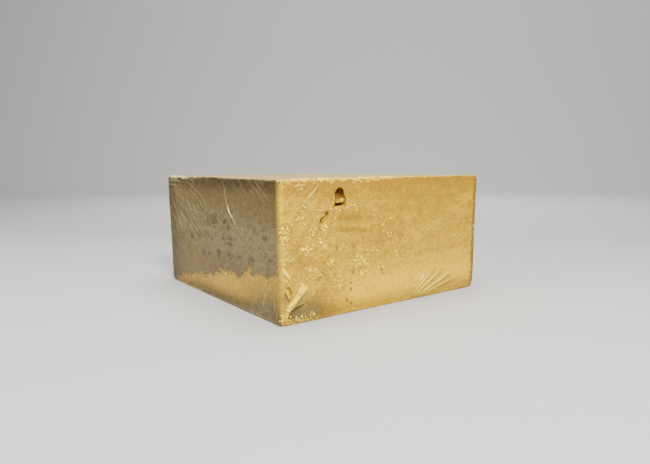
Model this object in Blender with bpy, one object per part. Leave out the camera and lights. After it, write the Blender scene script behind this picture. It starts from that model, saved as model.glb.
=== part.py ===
"""Wedge of raclette cheese: a quarter of a wheel, wrapped skin tight in clear film.

Units are metres. The point of the wedge looks towards -Y, the rounded heel towards +Y and +Z is up.
The origin is the middle of the flat base. The film lies on the paste, so cheese and film are one
solid, with the open eyes, the torn point, the crumbs along the rim and the folds of the film in it.
"""
import math
import random

import bmesh
import bpy
from mathutils import Vector, noise

MM = 0.001

# The wheel, and the two cuts that meet a little off its centre
WHEEL_RADIUS = 150 * MM
WHEEL_HEIGHT = 75 * MM
LEFT_LENGTH = 148.6 * MM
RIGHT_LENGTH = 152.6 * MM
POINT_ANGLE = math.radians(90)

# Roundings: the rind's two rims, the point's upright edge and the film drawn over the cut edges
RIM_ROUNDING_TOP = 4.5 * MM
RIM_ROUNDING_BASE = 5.5 * MM
POINT_ROUNDING = 2.6 * MM
EDGE_ROUNDING = 0.8 * MM

# Unevenness: how far the surfaces dip, and how long their waves are
RIND_DIP = 0.9 * MM
RIND_WAVE = 34 * MM
CUT_DIP = 0.35 * MM
CUT_WAVE = 26 * MM

# Fineness of the mesh
PLAN_CELLS = 20
HEIGHT_CELLS = 9
CHEESE_SEED = 7

# Finish of the whole
CHEESE_COLOUR = (0.60, 0.41, 0.15, 1.0)
CHEESE_ROUGHNESS = 0.42
NODE_NAME = "cheese_wedge"

UP = Vector((0.0, 0.0, 1.0))


def plan_direction(turn):
    """Level direction out of the point: turn 0 is the left cut, 1 is the right cut."""
    angle = (turn - 0.5) * POINT_ANGLE
    return Vector((math.sin(angle), math.cos(angle), 0.0))


LEFT = plan_direction(0.0)
RIGHT = plan_direction(1.0)


def wheel_centre():
    """The wheel's centre, found from the lengths of the two cuts."""
    left_end = LEFT * LEFT_LENGTH
    right_end = RIGHT * RIGHT_LENGTH
    chord = right_end - left_end
    towards_point = Vector((chord.y, -chord.x, 0.0)).normalized()
    half = chord.length / 2
    return (left_end + right_end) / 2 + towards_point * math.sqrt(WHEEL_RADIUS ** 2 - half ** 2)


CENTRE = wheel_centre()


def heel_reach(direction):
    """Distance from the point to the wheel's rim along a level direction."""
    along = direction.dot(CENTRE)
    return along + math.sqrt(along ** 2 - CENTRE.length_squared + WHEEL_RADIUS ** 2)


def on_left(along, up, depth=0.0):
    """Place on the left cut: along it from the point, up it, and depth into the cheese."""
    return LEFT * along + RIGHT * depth + UP * up


def on_right(along, up, depth=0.0):
    """Place on the right cut: along it from the point, up it, and depth into the cheese."""
    return RIGHT * along + LEFT * depth + UP * up


def on_heel(turn, up, depth=0.0):
    """Place on the rounded heel: turn 0 is its left end, 1 its right end."""
    direction = plan_direction(turn)
    return direction * (heel_reach(direction) - depth) + UP * up


def on_top(turn, outward, depth=0.0):
    """Place on the top rind: turn across the wedge, outward from the point to the heel."""
    direction = plan_direction(turn)
    return direction * heel_reach(direction) * outward + UP * (WHEEL_HEIGHT - depth)


def clear_scene():
    """Take away whatever the opened file holds."""
    for old in list(bpy.data.objects):
        bpy.data.objects.remove(old, do_unlink=True)


def new_object(name, bm, collection):
    """Turn a closed bmesh into an object with outward faces."""
    bmesh.ops.recalc_face_normals(bm, faces=bm.faces)
    if bm.calc_volume(signed=True) < 0:
        bmesh.ops.reverse_faces(bm, faces=bm.faces)
    mesh = bpy.data.meshes.new(name)
    bm.to_mesh(mesh)
    bm.free()
    made = bpy.data.objects.new(name, mesh)
    collection.objects.link(made)
    return made


def plan_place(u, v):
    """Plan of the wedge from two running lengths, 0 at the point and 1 at the heel."""
    outward = max(u, v)
    if outward == 0:
        return Vector((0.0, 0.0, 0.0))
    turn = 0.5 * v / u if u >= v else 1 - 0.5 * u / v
    direction = plan_direction(turn)
    return direction * heel_reach(direction) * outward


def sharp_edges(bm, keep):
    """Edges that turn by more than 40 degrees and that the test keeps."""
    limit = math.radians(40)
    return [e for e in bm.edges if e.is_manifold and e.calc_face_angle() > limit and keep(e)]


def round_edges(bm, edges, width, steps):
    """Round a set of edges."""
    bmesh.ops.bevel(
        bm, geom=edges, offset=width, offset_type="OFFSET", segments=steps, profile=0.5,
        affect="EDGES", clamp_overlap=True,
    )


def dip(bm):
    """Let the rind and the cuts wander inwards a little, and leave the base flat."""
    bm.normal_update()
    moves = {}
    for vert in bm.verts:
        if vert.co.z < 0.1 * MM:
            continue
        rim = (vert.co.xy - CENTRE.xy).length > WHEEL_RADIUS - RIM_ROUNDING_BASE
        rind = rim or vert.co.z > WHEEL_HEIGHT - 0.1 * MM
        depth, wave = (RIND_DIP, RIND_WAVE) if rind else (CUT_DIP, CUT_WAVE)
        amount = 0.5 + 0.5 * noise.noise(vert.co / wave)
        moves[vert] = vert.normal * (-depth * amount)
    for vert, move in moves.items():
        vert.co += move


def quarter_wheel(collection):
    """The plain quarter: a plan grid drawn up in layers, its edges rounded, its surfaces uneven."""
    bm = bmesh.new()
    bmesh.ops.create_grid(bm, x_segments=PLAN_CELLS, y_segments=PLAN_CELLS, size=0.5)
    for vert in bm.verts:
        vert.co = plan_place(vert.co.x + 0.5, vert.co.y + 0.5)
    layer = bm.faces[:]
    for number in range(HEIGHT_CELLS):
        drawn = bmesh.ops.extrude_face_region(bm, geom=layer, use_keep_orig=True)
        if number > 0:
            bmesh.ops.delete(bm, geom=layer, context="FACES")
        layer = [g for g in drawn["geom"] if isinstance(g, bmesh.types.BMFace)]
        verts = [g for g in drawn["geom"] if isinstance(g, bmesh.types.BMVert)]
        bmesh.ops.translate(bm, verts=verts, vec=UP * (WHEEL_HEIGHT / HEIGHT_CELLS))
    bmesh.ops.recalc_face_normals(bm, faces=bm.faces)

    def at_rim(edge):
        return all(abs((v.co.xy - CENTRE.xy).length - WHEEL_RADIUS) < 0.01 * MM for v in edge.verts)

    def level(edge, height):
        return all(abs(v.co.z - height) < 0.01 * MM for v in edge.verts)

    rim_top = sharp_edges(bm, lambda e: at_rim(e) and level(e, WHEEL_HEIGHT))
    round_edges(bm, rim_top, RIM_ROUNDING_TOP, 3)
    rim_base = sharp_edges(bm, lambda e: at_rim(e) and level(e, 0.0))
    round_edges(bm, rim_base, RIM_ROUNDING_BASE, 3)
    upright = sharp_edges(bm, lambda e: all(v.co.xy.length < 0.01 * MM for v in e.verts))
    round_edges(bm, upright, POINT_ROUNDING, 3)
    round_edges(bm, sharp_edges(bm, lambda e: True), EDGE_ROUNDING, 2)

    base = [f for f in bm.faces if all(v.co.z < 0.01 * MM for v in f.verts)]
    bmesh.ops.dissolve_faces(bm, faces=base)
    dip(bm)
    return new_object(NODE_NAME, bm, collection)


def lump(collection, place, centre, size, detail=1, rough=0.2, tilt=0.0):
    """Uneven rounded lump on a surface, as a pit's cutter or as a crumb.

    place is the surface's own function; centre is along, up and depth on it; size is the half
    width along, up and in depth; tilt turns it in the surface.
    """
    bm = bmesh.new()
    bmesh.ops.create_icosphere(bm, subdivisions=detail, radius=1.0)
    along, up, depth = centre
    turn_cos = math.cos(tilt)
    turn_sin = math.sin(tilt)
    for vert in bm.verts:
        stretch = 1 + rough * noise.noise(vert.co * 1.6 + Vector(centre) * 700)
        x = vert.co.x * size[0] * stretch
        z = vert.co.y * size[1] * stretch
        y = vert.co.z * size[2] * stretch
        vert.co = place(
            along + x * turn_cos - z * turn_sin,
            up + x * turn_sin + z * turn_cos,
            depth + y,
        )
    return new_object("lump", bm, collection)


def fold(collection, place, route, width, height, sink=0.6 * MM):
    """Fold of film or ridge of paste: a slim spindle half sunk in the surface along a route."""
    bm = bmesh.new()
    points = [Vector(p) for p in route]
    last = len(points) - 1
    rings = []
    for number, point in enumerate(points[1:-1], start=1):
        way = (points[number + 1] - points[number - 1]).normalized()
        side = Vector((-way.y, way.x))
        swell = math.sin(math.pi * number / last) ** 0.6
        half = width * swell / 2
        corners = (
            (point + side * half, 0.2 * height),
            (point, -height * swell),
            (point - side * half, 0.2 * height),
            (point, sink),
        )
        rings.append([bm.verts.new(place(spot.x, spot.y, depth)) for spot, depth in corners])
    first = bm.verts.new(place(points[0].x, points[0].y, sink / 2))
    end = bm.verts.new(place(points[-1].x, points[-1].y, sink / 2))
    for ring, other in zip(rings, rings[1:]):
        for k in range(4):
            bm.faces.new((ring[k], ring[(k + 1) % 4], other[(k + 1) % 4], other[k]))
    for k in range(4):
        bm.faces.new((first, rings[0][(k + 1) % 4], rings[0][k]))
        bm.faces.new((end, rings[-1][k], rings[-1][(k + 1) % 4]))
    return new_object("fold", bm, collection)


def straight(start, end, steps, bow=0.0):
    """Route of evenly spaced places from start to end, bowed sideways by a distance."""
    start = Vector(start)
    end = Vector(end)
    way = end - start
    side = Vector((-way.y, way.x)).normalized()
    return [start + way * (k / steps) + side * bow * math.sin(math.pi * k / steps) for k in range(steps + 1)]


def plate(collection, place, outline, front, back, slope=0.0):
    """Flake: an outline on a surface, drawn out from the depth front to the depth back.

    slope is how much deeper the flake lies for each metre that its outline runs downwards.
    """
    bm = bmesh.new()
    middle = sum((Vector(p) for p in outline), Vector((0.0, 0.0))) / len(outline)
    rings = []
    for depth, share in ((front, 0.9), ((front + back) / 2, 1.0), (back, 0.85)):
        spread = [middle + (Vector(spot) - middle) * share for spot in outline]
        rings.append([bm.verts.new(place(p.x, p.y, depth + slope * (middle.y - p.y))) for p in spread])
    count = len(outline)
    for ring, other in zip(rings, rings[1:]):
        for k in range(count):
            bm.faces.new((ring[k], ring[(k + 1) % count], other[(k + 1) % count], other[k]))
    bm.faces.new(rings[0])
    bm.faces.new(rings[-1])
    bmesh.ops.triangulate(bm, faces=bm.faces, ngon_method="EAR_CLIP")
    return new_object("plate", bm, collection)


def mm(*lengths):
    """Lengths written in millimetres, given in metres."""
    return tuple(length * MM for length in lengths)


def open_eyes(cutters):
    """The eyes and splits in the two cuts, and the hollow torn out at the point."""
    # Large eye under the top edge: a round roof, a shallow floor and a split below it
    lump(cutters, on_right, mm(38.2, 66.3, 0.6), mm(3.2, 3.8, 5.2), detail=3, rough=0.25)
    lump(cutters, on_right, mm(38.7, 62.9, 0.0), mm(3.7, 3.2, 1.7), detail=2, rough=0.3)
    lump(cutters, on_right, mm(39.3, 61.0, 0.8), mm(3.5, 1.1, 4.2), detail=2, rough=0.3, tilt=0.08)
    lump(cutters, on_right, mm(34.5, 60.0, 0.2), mm(0.7, 1.3, 1.8), rough=0.3, tilt=-0.5)
    # Slanting split to the left of it, and the small one nearer the point
    lump(cutters, on_right, mm(27.4, 53.7, 0.2), mm(2.6, 0.95, 2.4), detail=2, rough=0.3, tilt=0.72)
    lump(cutters, on_right, mm(29.5, 56.0, 0.1), mm(0.9, 0.7, 1.4), rough=0.3)
    lump(cutters, on_right, mm(11.9, 57.8, 0.1), mm(1.0, 0.8, 1.4), rough=0.3)
    lump(cutters, on_right, mm(9.4, 55.6, 0.0), mm(2.2, 0.45, 0.8), rough=0.3, tilt=0.8)
    lump(cutters, on_right, mm(48.9, 66.2, 0.0), mm(0.6, 0.6, 0.9), rough=0.3)
    # Pits in the left cut
    lump(cutters, on_left, mm(57.6, 62.4, 0.0), mm(0.9, 0.7, 0.8), rough=0.3)
    lump(cutters, on_left, mm(11.1, 45.0, 0.0), mm(0.6, 0.6, 0.8), rough=0.3)
    # Torn point: the hollow left of the long flake, the one under it and the bite in the corner
    lump(cutters, on_right, mm(5.0, 14.8, -0.2), mm(4.6, 8.2, 3.0), detail=3, rough=0.35, tilt=-0.3)
    lump(cutters, on_right, mm(10.2, 7.6, -0.2), mm(7.6, 4.4, 2.9), detail=3, rough=0.35, tilt=0.25)
    lump(cutters, on_right, mm(0.3, 14.5, 1.2), mm(1.5, 5.5, 1.5), detail=2, rough=0.4)


def torn_point(flakes):
    """The flakes, curls and crumbs that hang in the torn hollow at the point."""
    crest = straight(mm(15.6, 20.2), mm(0.6, 2.2), 9, bow=-0.5 * MM)
    fold(flakes, on_right, crest, 4.4 * MM, 1.1 * MM, sink=3.2 * MM)
    face = [mm(*p) for p in (
        (12.6, 18.8), (17.1, 18.0), (17.3, 15.4), (16.4, 13.0), (14.3, 11.9), (12.6, 10.3),
        (10.6, 9.6), (8.6, 7.7), (6.9, 7.9), (4.6, 7.0), (5.4, 9.2), (9.0, 14.2),
    )]
    plate(flakes, on_right, face, -0.2 * MM, 1.3 * MM, slope=0.04)
    curl = [mm(*p) for p in (
        (1.6, 20.4), (3.6, 20.0), (5.6, 17.6), (6.0, 14.6), (4.6, 12.0), (4.4, 14.4), (3.6, 17.0),
    )]
    plate(flakes, on_right, curl, -0.3 * MM, 3.4 * MM)
    fold(flakes, on_right, straight(mm(0.8, 31.4), mm(6.0, 24.8), 5, bow=0.5 * MM), 1.6 * MM, 0.7 * MM)
    fold(flakes, on_right, straight(mm(0.9, 12.6), mm(4.2, 14.0), 4), 1.4 * MM, 0.2 * MM, sink=2.8 * MM)
    for along, up, size in (
        (0.9, 23.0, 1.1), (2.3, 22.2, 0.9), (1.2, 9.4, 1.5), (2.4, 7.2, 1.3), (0.8, 5.0, 1.2), (1.6, 2.6, 1.1),
        (6.2, 17.9, 0.9), (9.6, 3.0, 1.1), (12.2, 3.2, 0.9), (15.4, 3.0, 0.8), (7.4, 2.6, 0.9), (19.2, 3.1, 0.7),
    ):
        lump(flakes, on_right, mm(along, up, 0.5), mm(size, size, size * 1.2), rough=0.4)


def curd_flecks(flakes):
    """Raised flecks of curd on the right cut, under the eyes and near the point."""
    for along, up, size in (
        (26.4, 50.6, 1.0), (27.6, 48.4, 1.1), (26.6, 46.6, 0.8), (14.5, 38.7, 1.0), (26.0, 38.7, 0.9),
        (6.6, 33.4, 1.1), (11.0, 33.0, 0.9), (19.9, 26.5, 0.9), (33.8, 27.6, 1.0), (52.4, 27.3, 1.2),
        (55.0, 28.8, 0.9), (4.8, 47.2, 1.1), (10.6, 45.4, 0.8), (16.4, 44.0, 0.9), (44.6, 61.6, 0.7),
    ):
        lump(flakes, on_right, mm(along, up, 0.3), mm(size * 1.3, size * 0.9, 0.5), rough=0.5, tilt=up)


def rim_crumbs(flakes, draw):
    """Crumbs pressed under the film along the upper edge of the right cut."""
    along = 1.5 * MM
    while along < 72 * MM:
        size = draw.uniform(0.7, 1.4) * MM
        drop = draw.uniform(0.6, 1.9) * MM
        lump(flakes, on_right, (along, WHEEL_HEIGHT - drop, 0.25 * MM), (size, size * 0.8, size * 0.7), rough=0.5)
        along += draw.uniform(1.2, 2.4) * MM


def film_folds(folds):
    """Folds in the wrapping film, where it is drawn to the corners."""
    # Fan on the right cut, spread from a spot on the lower edge
    root = Vector(mm(95.0, 1.2))
    for along, up, wide in (
        (108.0, 17.6, 0.8), (115.5, 19.1, 1.0), (121.3, 16.5, 1.1), (126.0, 14.6, 0.9), (130.2, 12.2, 1.1), (134.0, 8.2, 1.0),
    ):
        end = Vector(mm(along, up))
        fold(folds, on_right, straight(root.lerp(end, 0.25), end, 5), wide * MM, 0.45 * MM)
    # Crease that bends down the right cut beside the large eye
    fold(folds, on_right, straight(mm(24.2, 71.6), mm(13.7, 61.8), 5), 0.6 * MM, 0.4 * MM)
    fold(folds, on_right, straight(mm(13.9, 62.3), mm(17.3, 58.9), 3), 0.6 * MM, 0.3 * MM)
    # Long crease down the left cut
    crease = [mm(*p) for p in (
        (63.4, 73.2), (60.6, 69.6), (58.7, 66.1), (57.4, 62.0), (54.8, 56.5), (49.4, 51.2), (42.4, 45.1), (38.4, 42.0),
    )]
    fold(folds, on_left, crease, 0.8 * MM, 0.5 * MM)
    # Film gathered at both ends of the cuts
    for along, up, end_along, end_up in (
        (147.0, 71.5, 118.0, 70.0), (146.5, 69.0, 124.0, 66.2), (146.0, 66.0, 131.0, 60.5),
        (145.5, 62.0, 136.0, 54.0),
    ):
        fold(folds, on_left, straight(mm(along, up), mm(end_along, end_up), 5), 1.3 * MM, 0.6 * MM)
    for along, up, end_along, end_up in ((150.5, 4.6, 138.0, 2.6), (151.0, 7.4, 141.0, 8.6)):
        fold(folds, on_right, straight(mm(along, up), mm(end_along, end_up), 4), 1.2 * MM, 0.6 * MM)
    # Gathers that run over the heel from the lap of the film
    for turn, low, high in (
        (0.10, 12, 58), (0.18, 8, 40), (0.27, 14, 66), (0.46, 8, 52), (0.52, 20, 68), (0.61, 8, 38),
        (0.74, 12, 62), (0.83, 8, 44), (0.92, 16, 60),
    ):
        lean = 0.03 if turn < 0.5 else -0.03
        route = straight((turn, low * MM), (turn + lean, high * MM), 6)
        heel_fold(folds, route, 1.6 * MM, 0.7 * MM)


def heel_fold(collection, route, width, height):
    """Fold on the heel: its route counts turns across the heel, so its width is put in turns too."""
    turn_length = POINT_ANGLE * WHEEL_RADIUS

    def place(along, up, depth):
        return on_heel(along / turn_length, up, depth)

    return fold(collection, place, [(p[0] * turn_length, p[1]) for p in route], width, height)


def join(body, pieces, operation):
    """Cut or fuse a collection of pieces with the body, then drop the pieces."""
    step = body.modifiers.new("Join", "BOOLEAN")
    step.operand_type = "COLLECTION"
    step.collection = pieces
    step.operation = operation
    step.solver = "MANIFOLD"
    bpy.context.view_layer.objects.active = body
    bpy.ops.object.modifier_apply(modifier=step.name)
    for piece in list(pieces.objects):
        bpy.data.objects.remove(piece, do_unlink=True)
    bpy.data.collections.remove(pieces)


def islands(bm):
    """The mesh's separate bodies, as lists of faces."""
    left = set(bm.faces)
    found = []
    while left:
        todo = [left.pop()]
        island = list(todo)
        while todo:
            face = todo.pop()
            for edge in face.edges:
                for other in edge.link_faces:
                    if other in left:
                        left.remove(other)
                        todo.append(other)
                        island.append(other)
        found.append(island)
    return found


def tidy_mesh(body):
    """Keep the one outer body: fill sealed hollows, drop loose scraps and slivers."""
    bm = bmesh.new()
    bm.from_mesh(body.data)
    bmesh.ops.triangulate(bm, faces=bm.faces)
    bmesh.ops.remove_doubles(bm, verts=bm.verts, dist=0.004 * MM)
    bmesh.ops.dissolve_degenerate(bm, edges=bm.edges, dist=0.002 * MM)
    parts = sorted(islands(bm), key=len)
    for scrap in parts[:-1]:
        bmesh.ops.delete(bm, geom=scrap, context="FACES")
    bm.to_mesh(body.data)
    bm.free()


def stand_on_base(body):
    """Move the mesh so that the origin is the middle of its base."""
    corners = [vert.co for vert in body.data.vertices]
    low = Vector((min(c.x for c in corners), min(c.y for c in corners), min(c.z for c in corners)))
    high = Vector((max(c.x for c in corners), max(c.y for c in corners), 0.0))
    shift = Vector((-(low.x + high.x) / 2, -(low.y + high.y) / 2, -low.z))
    for vert in body.data.vertices:
        vert.co += shift


def cheese_material():
    """Pale golden paste under film."""
    material = bpy.data.materials.new("wrapped_cheese")
    material.use_nodes = True
    shader = material.node_tree.nodes["Principled BSDF"]
    shader.inputs["Base Color"].default_value = CHEESE_COLOUR
    shader.inputs["Roughness"].default_value = CHEESE_ROUGHNESS
    shader.inputs["Metallic"].default_value = 0.0
    return material


def new_collection(name):
    """An empty collection in the scene."""
    made = bpy.data.collections.new(name)
    bpy.context.scene.collection.children.link(made)
    return made


def build():
    """Make the wedge."""
    clear_scene()
    body = quarter_wheel(bpy.context.scene.collection)
    cutters = new_collection("cutters")
    open_eyes(cutters)
    join(body, cutters, "DIFFERENCE")
    raised = new_collection("raised")
    torn_point(raised)
    curd_flecks(raised)
    rim_crumbs(raised, random.Random(CHEESE_SEED))
    film_folds(raised)
    join(body, raised, "UNION")
    tidy_mesh(body)
    stand_on_base(body)
    body.data.materials.clear()
    body.data.materials.append(cheese_material())
    body.data.shade_smooth()
    body.data.set_sharp_from_angle(angle=math.radians(35))


build()
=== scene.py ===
"""Quarter wheel of raclette cheese in clear film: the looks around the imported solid.

The cheese, the crumbs that lie on it and the film drawn over it are three pieces, which together
stand for the one solid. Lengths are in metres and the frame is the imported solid's own: the point of
the wedge looks towards -Y, the rounded heel towards +Y, and the base lies at Z = 0. A place on a cut
is given as a run along it from the point, a height, and a depth into the cheese.
"""
from __future__ import annotations

import logging
import math
import random
from collections.abc import Callable, Sequence
from dataclasses import dataclass, field
from enum import Enum

import bpy
import numpy as np
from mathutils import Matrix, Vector, kdtree, noise


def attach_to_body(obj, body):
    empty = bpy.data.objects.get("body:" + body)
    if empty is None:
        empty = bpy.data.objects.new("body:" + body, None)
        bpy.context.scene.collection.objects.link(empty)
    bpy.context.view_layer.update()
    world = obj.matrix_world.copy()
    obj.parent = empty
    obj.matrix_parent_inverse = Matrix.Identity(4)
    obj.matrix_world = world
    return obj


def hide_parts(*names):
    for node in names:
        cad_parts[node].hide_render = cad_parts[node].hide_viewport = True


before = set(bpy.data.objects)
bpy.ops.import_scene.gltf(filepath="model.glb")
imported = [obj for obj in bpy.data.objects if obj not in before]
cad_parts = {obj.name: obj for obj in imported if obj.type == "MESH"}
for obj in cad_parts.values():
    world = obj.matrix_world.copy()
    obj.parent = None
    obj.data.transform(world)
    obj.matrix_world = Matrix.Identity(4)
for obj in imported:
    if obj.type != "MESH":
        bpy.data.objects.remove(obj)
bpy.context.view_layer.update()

NODE = "cheese_wedge"
BODY = "root"
MM = 0.001

log = logging.getLogger("wedge")

Array = np.ndarray
Spot = tuple[float, float]
Colour = tuple[float, float, float]


class Side(Enum):
    """The surfaces of the wedge that a route or a spot can lie on."""

    LEFT = "left"
    RIGHT = "right"
    HEEL = "heel"
    TOP = "top"


def mm(*lengths: float) -> tuple[float, ...]:
    """Give lengths written in millimetres in metres."""
    return tuple(length * MM for length in lengths)


def smooth(value: Array) -> Array:
    """Ease a value from 0 to 1, held at both ends."""
    held = np.clip(value, 0.0, 1.0)
    return held * held * (3 - 2 * held)


def fractal(points: Array, wave: float, octaves: int = 3, seed: float = 0.0) -> Array:
    """Give uneven values at many points.

    Args:
        points: places, one row each.
        wave: length of the longest waves.
        octaves: how many finer waves are added.
        seed: shifts the pattern.

    Returns:
        About -1 to 1 for each point.
    """
    shift = Vector((seed, seed * 0.7, seed * 1.3))
    return np.array([noise.fractal(Vector(p) / wave + shift, 0.9, 2.1, octaves) for p in points])


@dataclass(frozen=True)
class Wheel:
    """Plan and height of the quarter wheel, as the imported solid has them."""

    radius: float = 150 * MM
    height: float = 75 * MM
    left_length: float = 148.6 * MM
    right_length: float = 152.6 * MM
    point: Spot = mm(-1.39, -75.59)
    half_angle: float = math.radians(45)
    rim_top: float = 4.5 * MM
    rim_base: float = 5.5 * MM
    point_rounding: float = 2.6 * MM
    edge_rounding: float = 0.9 * MM

    @property
    def left(self) -> Array:
        """Level direction along the left cut, away from the point."""
        return np.array([-math.sin(self.half_angle), math.cos(self.half_angle), 0.0])

    @property
    def right(self) -> Array:
        """Level direction along the right cut, away from the point."""
        return np.array([math.sin(self.half_angle), math.cos(self.half_angle), 0.0])

    @property
    def origin(self) -> Array:
        """The point's sharp corner on the base."""
        return np.array([*self.point, 0.0])

    @property
    def centre(self) -> Array:
        """The wheel's centre, measured from the point.

        Returns:
            A level vector.
        """
        left_end = self.left * self.left_length
        right_end = self.right * self.right_length
        chord = right_end - left_end
        half = np.linalg.norm(chord) / 2
        inward = np.array([chord[1], -chord[0], 0.0]) / (2 * half)
        return (left_end + right_end) / 2 + inward * math.sqrt(self.radius ** 2 - half ** 2)

    def reach(self, turn: Array) -> tuple[Array, Array]:
        """Give the directions and the distances to the rim for turns 0 (left cut) to 1 (right cut).

        Args:
            turn: places along the heel.

        Returns:
            Directions, one row each, and distances.
        """
        angle = (turn - 0.5) * 2 * self.half_angle
        way = np.stack([np.sin(angle), np.cos(angle), np.zeros_like(angle)], axis=-1)
        along = way @ self.centre
        return way, along + np.sqrt(along ** 2 - self.centre @ self.centre + self.radius ** 2)

    def place(self, side: Side, along: Array, up: Array, depth: Array) -> Array:
        """Give places on a side, along being a run in metres, or on the heel and top a turn.

        Args:
            side: the surface.
            along: run from the point along a cut, or the turn over the heel or the top.
            up: height, or on the top the share of the way from the point to the rim.
            depth: how far under the surface.

        Returns:
            Places in the frame, one row each.
        """
        along, up, depth = np.broadcast_arrays(*(np.asarray(v, float) for v in (along, up, depth)))
        lift = np.array([0.0, 0.0, 1.0])
        if side is Side.LEFT:
            spots = along[..., None] * self.left + depth[..., None] * self.right + up[..., None] * lift
        elif side is Side.RIGHT:
            spots = along[..., None] * self.right + depth[..., None] * self.left + up[..., None] * lift
        elif side is Side.HEEL:
            way, far = self.reach(along)
            spots = way * (far - depth)[..., None] + up[..., None] * lift
        else:
            way, far = self.reach(along)
            spots = way * (far * up)[..., None] + (self.height - depth)[..., None] * lift
        return spots + self.origin

    def runs(self, points: Array) -> tuple[Array, Array, Array]:
        """Give, for places in the frame, the runs along the left and the right cut and the gap to the rim.

        Args:
            points: places, one row each.

        Returns:
            The three lengths for each place.
        """
        level = points - self.origin
        gap = self.radius - np.linalg.norm((level - self.centre)[:, :2], axis=1)
        return level @ self.left, level @ self.right, gap


WHEEL = Wheel()


def select_none() -> None:
    """Leave nothing selected, so that the next operator acts on its own object alone."""
    bpy.ops.object.select_all(action="DESELECT")


def activate(piece: bpy.types.Object) -> None:
    """Make one object the only selected and the active one.

    Args:
        piece: the object.
    """
    select_none()
    piece.select_set(True)
    bpy.context.view_layer.objects.active = piece


def read_points(piece: bpy.types.Object) -> Array:
    """Give a mesh's vertices, one row each.

    Args:
        piece: the object.

    Returns:
        Its vertices.
    """
    flat = np.empty(len(piece.data.vertices) * 3)
    piece.data.vertices.foreach_get("co", flat)
    return flat.reshape(-1, 3)


def read_normals(piece: bpy.types.Object) -> Array:
    """Give a mesh's vertex normals, one row each.

    Args:
        piece: the object.

    Returns:
        Directions of length 1.
    """
    flat = np.empty(len(piece.data.vertices) * 3)
    piece.data.vertex_normals.foreach_get("vector", flat)
    return flat.reshape(-1, 3)


def write_points(piece: bpy.types.Object, points: Array) -> None:
    """Put a mesh's vertices at new places."""
    piece.data.vertices.foreach_set("co", np.ascontiguousarray(points, dtype=np.float32).ravel())
    piece.data.update()


def paint(piece: bpy.types.Object, name: str, values: Array) -> None:
    """Keep one number for each vertex, under a name that a finish reads."""
    layer = piece.data.attributes.new(name, "FLOAT", "POINT")
    layer.data.foreach_set("value", np.asarray(values, dtype=np.float32))


def apply_modifier(piece: bpy.types.Object, kind: str, **settings: object) -> None:
    """Add a modifier with its settings and apply it.

    Args:
        piece: the object.
        kind: the modifier's type.
        settings: its settings by name.
    """
    activate(piece)
    step = piece.modifiers.new(kind.title(), kind)
    for name, value in settings.items():
        setattr(step, name, value)
    bpy.ops.object.modifier_apply(modifier=step.name)


def subdivide_where(piece: bpy.types.Object, chosen: Callable[[Array], Array], times: int = 1) -> None:
    """Cut the faces whose middles pass a test into four.

    Args:
        piece: the object.
        chosen: takes face middles and gives a truth value for each.
        times: how often it is done.
    """
    activate(piece)
    for _ in range(times):
        count = len(piece.data.polygons)
        middles = np.empty(count * 3)
        piece.data.polygons.foreach_get("center", middles)
        picked = chosen(middles.reshape(-1, 3))
        bpy.ops.object.mode_set(mode="EDIT")
        bpy.ops.mesh.select_mode(type="FACE")
        bpy.ops.mesh.select_all(action="DESELECT")
        bpy.ops.object.mode_set(mode="OBJECT")
        piece.data.polygons.foreach_set("select", picked.astype(bool))
        bpy.ops.object.mode_set(mode="EDIT")
        bpy.ops.mesh.subdivide(number_cuts=1, quadcorner="INNERVERT")
        bpy.ops.object.mode_set(mode="OBJECT")


@dataclass(frozen=True)
class Blot:
    """A soft or sharp spot on a cut, in millimetres, that looks or relief are keyed to."""

    along: float
    up: float
    width: float
    tall: float
    tilt: float = 0.0
    weight: float = 1.0

    def reach(self, run: Array, height: Array) -> Array:
        """Give the distance from the middle, 1 being the spot's rim, for runs and heights in metres.

        Args:
            run: runs along the cut.
            height: heights over the base.

        Returns:
            A distance for each place.
        """
        x = run / MM - self.along
        y = height / MM - self.up
        across = (x * math.cos(self.tilt) + y * math.sin(self.tilt)) / self.width
        rise = (-x * math.sin(self.tilt) + y * math.cos(self.tilt)) / self.tall
        return np.hypot(across, rise)

    def soft(self, run: Array, height: Array) -> Array:
        """Give the weight in the middle, fading out past the rim."""
        return self.weight * np.exp(-self.reach(run, height) ** 2)


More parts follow.
